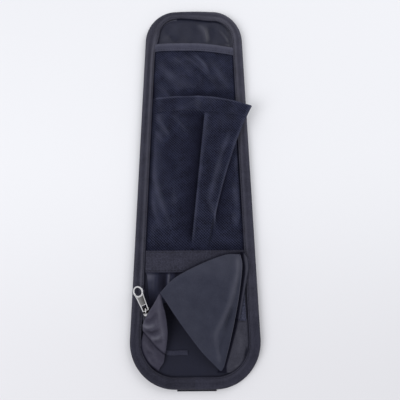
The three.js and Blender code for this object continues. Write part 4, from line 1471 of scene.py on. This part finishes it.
@dataclass
class Pouch(SubAssembly):
    """The limp pouch at the wide end: its mouth hangs open and its front has flopped to the right.

    The control points are in percent: across of the inner half-width, up of the pouch's height, and
    level of its depth above the lining.
    """

    height: float = 120.0
    depth: float = 20.0
    front: tuple = (
        ((-65.4, 80.9, 77.5), (-37.9, 93, 87.5), (3.6, 103.2, 92.5), (56.5, 112.8, 85), (89.3, 114.1, 67.5)),
        ((-54.5, 74.2, 80), (-21.5, 83.8, 92.5), (14.4, 92.1, 97.5), (54.3, 99.6, 90), (91, 103.8, 62.5)),
        ((-37.3, 62.3, 75), (-8.9, 68.8, 87.5), (21.4, 74.6, 92.5), (53.7, 79.6, 85), (83.9, 82.3, 55)),
        ((-13.2, 46.7, 60), (7.1, 51.2, 70), (30.1, 56.2, 75), (53.2, 60.4, 70), (74.9, 62.3, 45)),
        ((14.8, 30.3, 40), (25.1, 32.9, 46.5), (37.2, 35.4, 49), (49.3, 37.9, 46.5), (63.2, 39.6, 32.5)),
        ((61.1, 15.8, 8.5), (63.8, 15.5, 9), (66.2, 15.5, 9), (66.5, 16.3, 9), (65.3, 18.3, 10.5)),
    )
    leaf: tuple = (
        ((-66.8, 80.6, 73), (-66, 80.1, 74), (-65, 79.7, 74), (-64, 79.1, 73)),
        ((-77.1, 71.9, 64), (-71.7, 70.8, 71.5), (-65.6, 70.4, 72.5), (-59.5, 70.2, 67.5)),
        ((-85.9, 65.6, 62), (-76.4, 63.7, 69), (-65.7, 62.9, 69), (-55.4, 64.1, 62.5)),
        ((-93.9, 58.5, 55.5), (-81.4, 55.8, 61.5), (-67.2, 53.7, 58.5), (-52, 54.6, 52.5)),
        ((-96.9, 51.2, 44.5), (-84.6, 47.9, 48.5), (-68.6, 43.8, 43.5), (-50.8, 44.6, 40)),
        ((-95.6, 48.7, 38.5), (-82.9, 41.9, 29.5), (-70.2, 34.7, 22), (-57.4, 29.3, 19.5)),
    )
    lobe: tuple = (
        ((-95, 49.2, 32.5), (-82.5, 42.7, 24), (-70, 35.6, 17), (-58, 30, 14)),
        ((-98.7, 41.7, 18.5), (-90.7, 34.6, 19.5), (-81.2, 27.9, 18.5), (-65.9, 22.9, 15.5)),
        ((-100.3, 37.9, 12), (-96.4, 30.6, 14), (-91.3, 24.1, 14), (-81.3, 18.3, 12.5)),
        ((-101.9, 35, 10.5), (-100.4, 28.3, 10.5), (-98.7, 21.6, 10.5), (-97, 14.9, 10.5)),
    )
    top: tuple = (
        ((-97, 104.6, 0), (-63.5, 104.6, 0), (-18.1, 104.6, 0), (27.2, 104.6, 0), (72.5, 104.6, 0)),
        (
            (-96.8, 99.5, -0.5), (-63.3, 99.5, -0.5), (-18.1, 99.5, -0.5), (27.1, 99.5, -0.5),
            (72.4, 99.5, -0.5),
        ),
        ((-94.9, 97.1, 2.5), (-63.2, 97.1, 12.5), (-18.1, 97.1, 15.5), (27.1, 97.9, 14.5), (72.3, 97.9, 7.5)),
        ((-92.7, 90.4, 3.5), (-61.2, 91.2, 16.5), (-18, 92.9, 17.5), (27.1, 94.6, 16.5), (72.2, 95.4, 10)),
        ((-90.5, 81.2, 3.5), (-64.6, 82.9, 7), (-18, 87.9, 10.5), (27, 91.2, 10.5), (72.1, 92.9, 5.5)),
        ((-88.8, 62.9, 2.5), (-64.2, 71.3, 3.5), (-17.9, 81.2, 4.5), (27, 86.3, 4.5), (72, 89.6, 2.5)),
    )
    right: tuple = (
        ((79.5, 97.9, 7.5), (88, 97.9, 10), (95.5, 97.9, 1.5), (106, 97.9, 0)),
        ((73.4, 79.6, 8.5), (85, 79.6, 11), (95.5, 79.6, 1.5), (106, 79.6, 0)),
        ((63.7, 57.1, 8.5), (79.7, 57.1, 11), (95.5, 57.1, 1.5), (106, 57.1, 0)),
        ((52.8, 37.9, 7.5), (72.2, 37.9, 10), (94, 37.9, 1.5), (106, 37.9, 0)),
        ((50.7, 22.1, 6.5), (71, 22.1, 7.5), (93, 22.1, 1.5), (106, 22.1, 0)),
        ((61.9, 13.8, 3.5), (78, 13.8, 3), (93, 13.8, 1), (106, 13.8, 0)),
    )
    facing: tuple = (
        ((81.4, 98.8, 14.5), (88.6, 98.8, 16.5), (94.9, 98.8, 14.5)),
        ((75.2, 79.6, 15.5), (86, 79.6, 17), (95.8, 79.6, 12.5)),
        ((67.3, 57.1, 15.5), (81.4, 57.1, 16.5), (96.5, 57.1, 12)),
    )
    right_zip: tuple = (
        ((90.4, 117.5, 28.5), (94.9, 117.4, 29.5), (99.7, 116.7, 27.5)),
        ((93.8, 112.1, 25.5), (100.1, 112.1, 26.5), (105.6, 112.1, 24.5)),
        ((93.3, 102.9, 24.5), (100.6, 102.9, 25.5), (106.6, 102.9, 22.5)),
        ((89.2, 92.1, 24), (95.5, 92.1, 25), (100.9, 92.1, 22.5)),
        ((83.3, 80.4, 23.5), (89.6, 80.4, 24.5), (95.5, 80.4, 22.5)),
        ((74.4, 58.8, 22), (79.7, 58.6, 23), (84.3, 58.4, 22)),
    )
    front_edge: tuple = (
        (50.0, -88.5), (51.3, -100.6), (50.8, -108.6), (47.6, -126.7), (44.2, -144.7), (40.8, -163.4),
        (34.6, -184.0), (29.0, -202.4),
    )
    roll: float = 1.3
    flap: tuple = (
        (-37, -30, -21, -9.5, 2, 19.4, 31, 49), (-127, -120, -113.7, -107, -101.4, -94.5, -90, -88),
    )
    front_folds: tuple[Fold, ...] = (
        Fold(
            ((47.5, -108), (43, -119), (34.5, -143), (28, -157), (22, -170), (22, -184)),
            1.5, 3.6,
        ),
        Fold(((41, -143), (37, -153), (32, -168)), -1.8, 3.2),
        Fold(((31.5, -172), (28, -180), (25.5, -192)), -0.8, 2.4),
        Fold(((24, -184), (24.5, -192), (25, -200)), 0.6, 2.6),
        Fold(((45.5, -92), (46, -104), (43, -118)), 0.9, 2),
    )
    leaf_folds: tuple[Fold, ...] = (
        Fold(((-55, -160), (-48, -162), (-41, -160)), 2.6, 2),
        Fold(((-52, -157), (-45, -155), (-39, -149)), -1.8, 2.2),
        Fold(((-52, -166.5), (-45, -168.5), (-37, -166)), -2.4, 1.9),
        Fold(((-46, -172.5), (-41, -173.5), (-35, -171)), 2.4, 1.9),
        Fold(((-42, -178), (-37, -178), (-33, -176)), -1.2, 1.8),
        Fold(((-37, -134), (-37, -150), (-34, -166), (-33, -182)), 0.9, 2.2),
    )
    right_folds: tuple[Fold, ...] = (
        Fold(((54.5, -183), (53.5, -189), (51.5, -194)), -1.6, 1.1),
        Fold(((51, -196), (47, -201), (41, -204)), 0.9, 1.8),
        Fold(((44, -166), (48, -178), (46, -190)), 0.6, 3),
    )
    lobe_folds: tuple[Fold, ...] = (
        Fold(((-54, -176), (-46, -186), (-37, -196)), 1.2, 2.4),
        Fold(((-50, -187), (-45, -189), (-40, -192)), -1, 1.6),
        Fold(((-49, -192), (-45, -198), (-40, -203)), 0.9, 1.8),
    )

    @property
    def band_bottom(self) -> float:
        """The height of the band's lower edge."""
        return OUTLINE.bottom + self.height

    def place(self, table: tuple) -> Array:
        """Control points in percent as points in millimetres.

        Args:
            table: The control points.

        Returns:
            The points, which are across, up and level made x, y and z.
        """
        across, up, level = np.moveaxis(np.array(table, float) * PERCENT, -1, 0)
        y = OUTLINE.bottom + self.height * up
        return np.stack([OUTLINE.inner(y) * across, y, LEVELS.tucked + self.depth * level], -1)

    def rolled(self, surface: Surface) -> Surface:
        """The front with its upper and right edges rolled under: each goes on as a small round turn.

        Past the edge a point moves out by r sin a and down by r (1 - cos a), with a running to 200
        degrees and r shrinking to almost nothing at the edge's two ends.

        Args:
            surface: The front without its rolls.

        Returns:
            The front with them.
        """
        def radii(count: int) -> Array:
            """The roll's radius along an edge, almost nothing at both ends.

            Args:
                count: How many points the edge has.

            Returns:
                The root of a half wave.
            """
            return self.roll * np.sqrt(np.sin(np.pi * np.linspace(0.02, 0.98, count)))

        turn = np.radians(np.linspace(20, 200, 9))
        points, normals = surface.points, surface.normals
        out = unit(points[:, -1] - points[:, -2])
        size = radii(len(points))[:, None, None]
        swing = out[:, None] * np.sin(turn)[:, None] - normals[:, -1][:, None] * (1 - np.cos(turn))[:, None]
        points = np.concatenate([points, points[:, -1][:, None] + size * swing], 1)
        edge = Surface(points)
        out = unit(points[0] - points[1])
        size = radii(points.shape[1])[None, :, None]
        turn = turn[::-1, None, None]
        swing = out[None] * np.sin(turn) - edge.normals[0][None] * (1 - np.cos(turn))
        return Surface(np.concatenate([points[0][None] + size * swing, points]))

    def build_front(self) -> None:
        """The flopped front panel, softly dented, with rolled edges."""
        smooth = Surface(spline_surface(self.place(self.front), 90, 72))
        rows, columns = smooth.points.shape[:2]
        free = smoothstep(np.linspace(0, 1, rows), 0.0, 0.1)[:, None]
        free = free * smoothstep(np.linspace(1, 0, columns), 0.0, 0.08)[None, :]
        x, y = smooth.points[..., 0], smooth.points[..., 1]
        dents = (relief_of(self.front_folds, x, y) + 0.12 * ripple(x, y, 22.0, 6)) * free
        surface = self.rolled(smooth.raised(dents))
        turned = len(surface.points) - rows
        # Painted highlight on the dents' ridges and in two spots, darker further down, and painted shade
        # under both rolled edges; the right roll starts with a painted highlight.
        surface.painted_light_and_tone = np.zeros(surface.points.shape[:2])
        corner = spot(x, y, (47, -98), (3, 9)) + spot(x, y, (25, -190), (5, 12))
        fall = smoothstep(-y, 95.0, 150.0)
        surface.painted_light_and_tone[turned:, :columns] = 0.16 * dents + 0.12 * corner + 0.05 - 0.14 * fall
        surface.painted_light_and_tone[turned:, columns:] = np.linspace(0.25, -0.9, surface.points.shape[1] - columns)
        surface.painted_light_and_tone[:turned] = np.linspace(-0.9, 0.1, turned)[:, None]
        obj = place_piece("pouch_front_cloth", surface.sheet(LEVELS.cloth), SATIN, ["pouch_front_panel"])
        declare_cloth(surface)

    def front_edge_shadow(self, surface: Surface) -> Array:
        """The painted shadow on a cloth close to the front's right edge, which hangs over it.

        Args:
            surface: The cloth.

        Returns:
            The painted shadow's darkness at each point, from 1.1 at the edge to 0.
        """
        line = np.array(self.front_edge)
        edge = np.interp(-surface.points[..., 1], -line[:, 1], line[:, 0])
        return 1.1 * (1 - smoothstep(surface.points[..., 0] - edge, 2.6, 4.6))

    def build_wall(self, wall: Wall) -> None:
        """One wall of the pouch: a smooth surface through its table, wrinkled and given its thickness.

        Args:
            wall: The wall.
        """
        surface = Surface(spline_surface(self.place(wall.table), 56, 48))
        surface = surface.wrinkled(wall.folds, wall.uneven, 7.0, len(wall.name))
        down, right = surface.arcs[..., 1], surface.arcs[..., 0]
        edges = (
            down,
            down.max(0) - down,
            right - right.min(1, keepdims=True),
            right.max(1, keepdims=True) - right,
        )
        x, y = surface.points[..., 0], surface.points[..., 1]
        # Painted shade over the whole wall, along the binding's inner edge and along the wall's own edges,
        # and the painted shadow of the front's edge where it hangs over.
        surface.painted_light_and_tone -= wall.shade + 0.6 * bell(OUTLINE.inner(y) - np.abs(x), 1.3)
        for share, gap in zip(wall.dark, edges):
            surface.painted_light_and_tone -= share * bell(gap, 1.5)
        if wall.shadowed_by_front:
            surface.painted_light_and_tone -= self.front_edge_shadow(surface)
        obj = place_piece(wall.name, surface.sheet(LEVELS.cloth), wall.finish, [wall.node])
        declare_cloth(surface)

    def build_top(self) -> None:
        """The cloth gathered under the band: upright ruffles that fade down the pouch and to its sides."""
        surface = Surface(spline_surface(self.place(self.top), 60, 150))
        x, y = surface.points[..., 0], surface.points[..., 1]
        below = self.band_bottom - y
        down = smoothstep(below, 0.5, 4.0) * (1 - 0.75 * smoothstep(below, 8.0, 34.0))
        side = smoothstep(x, -47.0, -40.0)
        waves = np.sin(x / 1.25 + 0.9 * np.sin(x / 4.1)) + 0.6 * np.sin(x / 2.3 + 2)
        height = 0.8 * waves * down * side + 0.25 * ripple(x, y, 9.0, 8) * side
        surface = surface.raised(np.maximum(height, -0.6))
        # Painted shade in the hollow under the front, right of it and beside the zip's pull; painted
        # highlight in a few spots and along one line; painted highlight and shade on the ruffles; painted
        # shade further down.
        hollow_shade = np.exp(-(((x + 35) / 5.2) ** 4) - ((y + 115) / 11) ** 4) + smoothstep(x, -27.0, -20.0)
        hollow_shade += 0.8 * spot(x, y, (-46, -140), (4.5, 12))
        light = spot(x, y, (-50, -110), (5, 4)) + bell(x + 29, 1.6)
        ridges = 0.15 * np.clip(waves, -1, 1) * down * side
        surface.painted_light_and_tone = ridges - 0.95 * np.clip(hollow_shade, 0, 1) + 0.25 * light
        surface.painted_light_and_tone -= 0.25 * smoothstep(-y, 116.0, 128.0)
        obj = place_piece("pouch_top_cloth", surface.sheet(LEVELS.cloth), GUSSET_NYLON, ["pouch_top_gusset"])
        declare_cloth(surface)

    def build_band(self) -> None:
        """The woven band between the middle pocket and the pouch, slightly padded, and its two seams."""
        half = OUTLINE.inner(BAND_TOP) - LEVELS.gap
        s, v = np.meshgrid(np.linspace(-1, 1, 110), np.linspace(0, 1, 26))
        x = s * half
        y = lerp(BAND_TOP, self.band_bottom, v) + 0.3 * np.sin(x / 8) * (1 - 2 * np.abs(v - 0.5))
        z = sum(LEVELS.band) / 2 + 0.45 * np.sin(np.pi * v) ** 0.6 + 0.12 * ripple(x, y, 15.0, 11)
        surface = Surface(np.stack([x, y, z], -1))
        # Painted shadow of the front's upper edge on the band, and darker along the band's two edges.
        flap = np.interp(x, *self.flap)
        surface.painted_light_and_tone = -0.95 * bell(np.clip(y - flap - 2, 0, None), 2.6) - 0.25 * (np.abs(v - 0.5) > 0.47)
        obj = place_piece("pouch_band_tape", surface.sheet(0.8), BAND, ["pouch_band"])
        declare_cloth(surface)
        seams = []
        for row in (2, -3):
            normals = surface.normals[row]
            seams.append(Seam().shell(surface.points[row] + normals * 0.4, normals))
        place_piece("pouch_band_stitches", Shell.joined(seams), THREAD)

    def build_small(self) -> None:
        """The tape sewn on the pouch's floor and the free half of the zip's tape on the right."""
        low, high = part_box("pouch_seam_tape")
        x, y = np.meshgrid(np.linspace(low[0], high[0], 30) / MM, np.linspace(high[1], low[1], 10) / MM)
        z = np.full_like(x, (low[2] + high[2]) / 2 / MM) + 0.1 * ripple(x, y, 9.0, 2)
        # Painted shade: the tape on the pouch's floor is darker all over.
        tape = Surface(np.stack([x, y + 0.2 * np.sin(x / 3), z], -1), np.full_like(x, -0.5))
        place_piece("pouch_seam_strip", tape.sheet(0.6), TRIM, ["pouch_seam_tape"])
        strip = Surface(spline_surface(self.place(self.right_zip), 70, 10))
        across = np.linspace(-1, 1, strip.points.shape[1])
        # Painted highlight over the strip, painted shade along both its edges and the painted shadow of the
        # front's edge.
        strip.painted_light_and_tone = 0.1 - 0.8 * across**6 - self.front_edge_shadow(strip)
        place_piece("zip_strip_right", strip.sheet(LEVELS.cloth), ZIP_CLOTH, ["zip_tape_right"])

    def build(self) -> None:
        """Makes all the pouch's pieces."""
        self.build_band()
        self.build_top()
        self.build_front()
        walls = (
            Wall(
                "pouch_leaf_cloth", self.leaf, LINED_SATIN, "pouch_left_gusset", self.leaf_folds, "folded",
                ("pouch_lobe_cloth", "pouch_front_cloth"), 0.25, (0.0, 0.6, -0.1, 0.3),
            ),
            Wall(
                "pouch_lobe_cloth", self.lobe, LINED_SATIN, "pouch_corner_gusset", self.lobe_folds, "folded",
                ("edge_binding_tape", "front_lining_cloth"), 0.2, (0.9, 0.8, 0.2, 0.0), 0.22,
            ),
            Wall(
                "pouch_right_cloth", self.right, OXFORD, "pouch_right_gusset", self.right_folds, "stretched",
                ("front_lining_cloth",), 0.12, (0.0, 0.0, 0.9, 0.0), shadowed_by_front=True,
            ),
            Wall(
                "pouch_facing_cloth", self.facing, FACING, "pouch_side_facing", (), "stretched",
                ("pouch_right_cloth",), 0.08, (0.0, 0.3, 0.5, 0.1), shadowed_by_front=True,
            ),
        )
        for wall in walls:
            self.build_wall(wall)
        self.build_small()


def turned(angle: float) -> Array:
    """The matrix of a turn about Z by an angle in radians.

    Args:
        angle: The angle.

    Returns:
        Three rows of three.
    """
    return np.array([
        [math.cos(angle), -math.sin(angle), 0], [math.sin(angle), math.cos(angle), 0], [0, 0, 1],
    ])


@dataclass
class Zip(SubAssembly):
    """The zip's slider and pull, and the coil and tape that the slider runs on.

    The coil, the tape, the slider and its arch are in the slider's own frame, with +Y ahead of it, and
    the pull in its own, where it runs along +Y from its hinge.
    """

    origin: tuple[float, float] = (-52.03, -147.02)
    base: float = 8.2
    heading: float = 5.0
    coil_x: tuple[float, float] = (-3.0, -1.0)
    coil_z: tuple[float, float] = (2.0, 3.4)
    coil_y: tuple[float, float] = (-6.5, 18.5)
    turns: int = 19
    thread: float = 0.28
    tape_x: tuple[float, float] = (-4.4, -1.0)
    tape_end: float = 5.0
    pull_axis: float = 115.0
    pull_droop: float = 5.1
    hinge_ahead: float = 1.175
    hinge_level: float = 6.0
    body: tuple[float, float] = (3.6, 4.7)
    body_power: float = 3.2
    flange_x: float = 3.42
    arch_reach: float = 2.2
    arch_foot: float = 4.4
    arch_rise: float = 3.25
    pull_thick: float = 1.3
    ring_centre: float = 21.7
    ring_size: tuple[float, float] = (4.5, 5.4)
    slot_end: float = 5.7

    def to_world(self, points: Array) -> Array:
        """Points in the slider's own frame, as points of the organizer."""
        return points @ turned(math.radians(self.heading)).T + np.array([*self.origin, self.base])

    def pull_to_world(self, points: Array) -> Array:
        """Points in the pull's own frame, which runs along +Y from its hinge, as points of the organizer.

        Args:
            points: The points.

        Returns:
            The points, drooped about X, turned about Z and moved to the hinge.
        """
        spin, d = turned(math.radians(self.pull_axis - 90)), math.radians(-self.pull_droop)
        tip = np.array([[1, 0, 0], [0, math.cos(d), -math.sin(d)], [0, math.sin(d), math.cos(d)]])
        hinge = self.to_world(np.array([[0.0, self.hinge_ahead, self.hinge_level]]))[0]
        return points @ (spin @ tip).T + hinge

    @staticmethod
    def superellipse(count: int, across: float, along: float, power: float = 4.0) -> Array:
        """A rounded outline: |x/a| to a power plus |y/b| to the same power is 1.

        Args:
            count: How many points.
            across: a.
            along: b.
            power: The power.

        Returns:
            The outline's points.
        """
        t = np.linspace(0, 2 * np.pi, count, endpoint=False)
        c, s = np.cos(t), np.sin(t)
        size = (np.abs(c) ** power + np.abs(s) ** power) ** (-1 / power)
        return np.stack([across * c * size, along * s * size], -1)

    @staticmethod
    def plate(outline: Array, low: float, high: float, bevel: float, crown: float = 0.0) -> Shell:
        """A plate with rounded edges and a crowned top, from its outline.

        The section goes from the middle of the underside out to the edge, up it and back to the middle.

        Args:
            outline: The plate's outline, seen from above.
            low: The level of its underside.
            high: The level of its edge's top.
            bevel: The width of the slope along both edges.
            crown: How far the middle of the top stands over its edge.

        Returns:
            The plate.
        """
        centre = outline.mean(0)
        slope = 1 - bevel / np.abs(outline - centre).max()
        rings = (
            (0.0, low), (0.6, low), (slope, low), (1.0, low + bevel), (1.0, high - bevel), (slope, high),
            (0.6, high + crown * 0.7), (0.3, high + crown), (0.0, high + crown),
        )
        points = np.array([
            np.column_stack([centre + (outline - centre) * share, np.full(len(outline), level)])
            for share, level in rings
        ])
        count = len(outline)
        quads = grid_quads(len(rings), count, wrap_columns=True)[:, ::-1]
        quads = poled(quads, count, (len(rings) - 1) * count)
        return Shell.smooth(points.reshape(-1, 3), quads, points[..., :2].reshape(-1, 2))

    @staticmethod
    def swept(
        path: Array, sideways: Sequence[float] | Array, upwards: Sequence[float] | Array, width: float,
        height: float, closed: bool = False,
    ) -> Shell:
        """A rounded bar along a path.

        Args:
            path: The bar's middle line.
            sideways: The direction of its width, one for all points or one for each.
            upwards: The direction of its height.
            width: Its width.
            height: Its height.
            closed: Whether it returns to its start.

        Returns:
            The bar.
        """
        section = Zip.superellipse(12, width / 2, height / 2, 3.0)
        sideways = np.broadcast_to(np.asarray(sideways, float), path.shape)
        upwards = np.broadcast_to(np.asarray(upwards, float), path.shape)
        points = path[:, None] + sideways[:, None] * section[None, :, :1]
        points = points + upwards[:, None] * section[None, :, 1:]
        return ring_shell(points) if closed else bar_shell(points)

    def slider(self) -> Shell:
        """Two rounded plates joined at the nose, a flange along each side and the arch over the top.

        Returns:
            The slider.
        """
        outline = self.superellipse(40, *self.body, self.body_power)
        outline[:, 0] *= 1 - 0.22 * smoothstep(-outline[:, 1], 0.5, self.body[1])
        bottom = self.plate(outline, 0.35, 0.95, 0.2)
        top = self.plate(outline, 3.7, 4.5, 0.3, 0.15)
        # Painted shade on the top plate under the pull, which is seen through its slot; only the rear end
        # keeps the bright colour.
        top.painted_light_and_tone[:] = -1 + smoothstep(-top.points[:, 1], 1.6, 3.4)
        nose = self.plate(self.superellipse(16, 0.6, 1.2) + [0, 3.0], 0.5, 4.0, 0.1)
        parts = [bottom, top, nose]
        for side in (-1, 1):
            y = np.linspace(-1.2, 2.6, 8)
            path = np.column_stack([np.full_like(y, side * self.flange_x), y, np.full_like(y, 3.2)])
            parts.append(self.swept(path, ACROSS, UP, 0.36, 1.6))
        t = np.linspace(0, np.pi, 25)
        shape = (np.abs(np.cos(t)) ** 5 + np.abs(np.sin(t)) ** 5) ** (-1 / 5)
        forward = self.arch_reach * np.cos(t) * shape
        z = self.arch_foot + self.arch_rise * np.sin(t) * shape
        path = np.column_stack([np.zeros_like(z), self.hinge_ahead + forward, z])
        thick = np.cross(np.tile(ACROSS, (len(z), 1)), unit(np.gradient(path, axis=0)))
        parts.append(self.swept(path, thick, ACROSS, 0.95, 1.3))
        shell = Shell.joined(parts)
        return replace(shell, points=self.to_world(shell.points))

    def pull(self) -> Shell:
        """The pull: a ring at the far end, two rails down to the root, and a sunk panel between them.

        Returns:
            The pull.
        """
        half_width, half_length = self.ring_size
        t = np.linspace(0, 2 * np.pi, 48, endpoint=False)
        path = np.column_stack([
            half_width * np.cos(t), self.ring_centre + half_length * np.sin(t), np.zeros_like(t),
        ])
        out = unit(np.column_stack([np.cos(t) / half_width, np.sin(t) / half_length, np.zeros_like(t)]))
        parts = [self.swept(path, out, UP, 1.6, self.pull_thick, closed=True)]
        rail_y = np.array([0.0, 3.0, 8.0, 14.0, 17.0, 19.0, 20.6])
        rail_x = np.array([2.9, 3.0, 3.25, 3.6, 3.9, 4.15, 4.4])
        for side in (-1, 1):
            path = catmull(np.column_stack([side * rail_x, rail_y, 0 * rail_y]), np.linspace(0, 1, 24))
            parts.append(self.swept(path, ACROSS, UP, 1.1, self.pull_thick))
        for y, width in ((-0.1, 0.9), (self.slot_end + 0.5, 1.0), (16.6, 1.4)):
            x = np.linspace(-3.1, 3.1, 9)
            path = np.column_stack([x, np.full_like(x, y), np.zeros_like(x)])
            parts.append(self.swept(path, ALONG, UP, width, self.pull_thick))
        outline = self.superellipse(32, 3.3, 5.6, 8.0) + [0, 11.5]
        outline[:, 0] *= 0.92 + 0.02 * (outline[:, 1] - 4.5)
        panel = self.plate(outline, -0.35, 0.3, 0.1)
        # Painted shade in the sunk panel of the pull, a little darker towards one side.
        panel.painted_light_and_tone[:] = -0.76 - 0.05 * panel.points[:, 0]
        shell = Shell.joined([*parts, panel])
        return replace(shell, points=self.pull_to_world(shell.points))

    def coil(self) -> Shell:
        """The teeth: one thread wound in a flattened spiral along the tape.

        Returns:
            The teeth.
        """
        t = np.linspace(0, 2 * np.pi * self.turns, 14 * self.turns + 1)
        x0, x1 = self.coil_x
        z0, z1 = self.coil_z
        path = np.column_stack([
            (x0 + x1) / 2 + (x1 - x0 - 0.5) / 2 * np.cos(t),
            np.linspace(*self.coil_y, len(t)),
            (z0 + z1) / 2 + (z1 - z0 - 0.5) / 2 * np.sin(t),
        ])
        along = unit(np.gradient(path, axis=0))
        side = unit(np.cross(along, np.tile(ALONG, (len(t), 1))))
        turn = np.linspace(0, 2 * np.pi, 6, endpoint=False)[:, None]
        around = side[:, None] * np.cos(turn) + np.cross(along, side)[:, None] * np.sin(turn)
        return bar_shell(self.to_world(path[:, None] + self.thread * around))

    def tape(self) -> Surface:
        """The narrow tape under the coil, whose ends dip to the binding.

        Returns:
            The tape's middle surface.
        """
        y = np.linspace(self.coil_y[1] + self.tape_end, self.coil_y[0] - self.tape_end, 60)
        inside = np.minimum(y - y[-1], y[0] - y)
        level = lerp(0.3, 1.4, smoothstep(inside, 0.0, self.tape_end))
        x = np.linspace(*self.tape_x, 8)
        grid = np.stack(np.broadcast_arrays(x[None, :], y[:, None], level[:, None]), -1)
        return Surface(self.to_world(grid))

    def build(self) -> None:
        """Makes the tape, the coil, the slider and the pull."""
        place_piece("zip_strip_left", self.tape().sheet(LEVELS.cloth), ZIP_CLOTH, ["zip_tape_left"])
        place_piece("zip_teeth", self.coil(), COIL, ["zip_coil_left"])
        place_piece("zip_slider_body", self.slider(), CHROME, ["zip_slider"], "slider")
        place_piece("zip_pull_tab", self.pull(), CHROME, ["zip_pull"], "pull")


@dataclass
class Studio(SubAssembly):
    """The pale table, the soft light and the camera of the photograph."""

    table: float = 6.0
    table_colour: str = "ecedf2"
    table_painted_shade: str = "e0e0e5"
    world: float = 0.56
    backdrop: float = 0.86
    camera: tuple[float, float, float] = (5.27, -144.4, 484.5)
    right: tuple[float, float, float] = (0.99997, -0.0078, 0.0)
    up: tuple[float, float, float] = (0.007562, 0.969438, 0.245218)
    focal_pixels: float = 430.0
    frame_pixels: float = 400.0
    sensor: float = 36.0
    lamps: tuple = (
        ("key_light", (-1.2, -0.85, 1.3), 1.2, 19.0),
        ("fill_light", (1.2, 1.05, 1.25), 1.4, 16.0),
    )

    def build_table(self) -> None:
        """A wide plane whose colour darkens slightly towards the viewer, as painted shade."""
        half = self.table / 2
        n = 9
        x, y = np.meshgrid(np.linspace(-half, half, n) / MM, np.linspace(half, -half, n) / MM)
        points = np.stack([x, y, np.zeros_like(x)], -1).reshape(-1, 3)
        shell = Shell.smooth(points, grid_quads(n, n), points[:, :2])
        obj = bpy.data.objects.new("table", shell.mesh("table"))
        bpy.context.scene.collection.objects.link(obj)
        book = NodeBook(bpy.data.materials.new("table_top"))
        place = book.node("ShaderNodeSeparateXYZ", {}, {0: book.object_place()})
        # Painted shade: the table's colour darkens towards the viewer.
        near = book.between(place.beside("Y") * -1.0, -0.05, 0.26)
        colour = book.mix(near, linear(self.table_colour), linear(self.table_painted_shade))
        sockets = {"Base Color": colour, "Roughness": 0.9, "Specular IOR Level": 0.0}
        obj.data.materials.append(book.finish(sockets, None, 0.0))

    def build_lights(self) -> None:
        """An even sky, pale where it is seen or mirrored, and two broad soft lamps aimed at the object."""
        world = bpy.data.worlds.new("soft_sky")
        book = NodeBook(world)
        ray = book.node("ShaderNodeLightPath", {}, {}, "Is Camera Ray")
        seen = ray + ray.beside("Is Glossy Ray") + ray.beside("Is Transmission Ray")
        strength = self.world + (self.backdrop - self.world) * seen
        sky = book.node("ShaderNodeBackground", {}, {"Color": (1.0, 1.0, 1.0, 1.0), "Strength": strength})
        book.node("ShaderNodeOutputWorld", {}, {"Surface": sky})
        bpy.context.scene.world = world
        for name, place, size, power in self.lamps:
            lamp = bpy.data.lights.new(name, "AREA")
            lamp.shape = "SQUARE"
            lamp.size = size
            lamp.energy = power
            obj = bpy.data.objects.new(name, lamp)
            bpy.context.scene.collection.objects.link(obj)
            away = unit(np.array(place))
            side = unit(np.cross(ALONG, away))
            axes = np.column_stack([side, np.cross(away, side), away])
            obj.matrix_world = Matrix.Translation(place) @ Matrix(axes.tolist()).to_4x4()

    def build_camera(self) -> None:
        """The camera, placed from its right and up directions."""
        data = bpy.data.cameras.new("camera")
        data.sensor_width = self.sensor
        data.lens = self.focal_pixels / self.frame_pixels * self.sensor
        data.clip_start = 0.01
        obj = bpy.data.objects.new("camera", data)
        bpy.context.scene.collection.objects.link(obj)
        back = np.cross(self.right, self.up)
        axes = Matrix(np.column_stack([self.right, self.up, back]).tolist()).to_4x4()
        obj.matrix_world = Matrix.Translation([c * MM for c in self.camera]) @ axes
        bpy.context.scene.camera = obj

    def build(self) -> None:
        """Makes the table, the lights and the camera."""
        self.build_table()
        self.build_lights()
        self.build_camera()
        bpy.context.scene.view_settings.view_transform = "Standard"


def main() -> None:
    """Builds the sub-assemblies in order."""
    logging.basicConfig(level=logging.INFO, format="%(message)s")
    for group in (Studio(), Back(), EdgeBinding(), UpperPocket(), MiddlePocket(), Pouch(), Zip()):
        log.info("building %s", type(group).__name__)
        group.build()


if __name__ == "__main__":
    main()
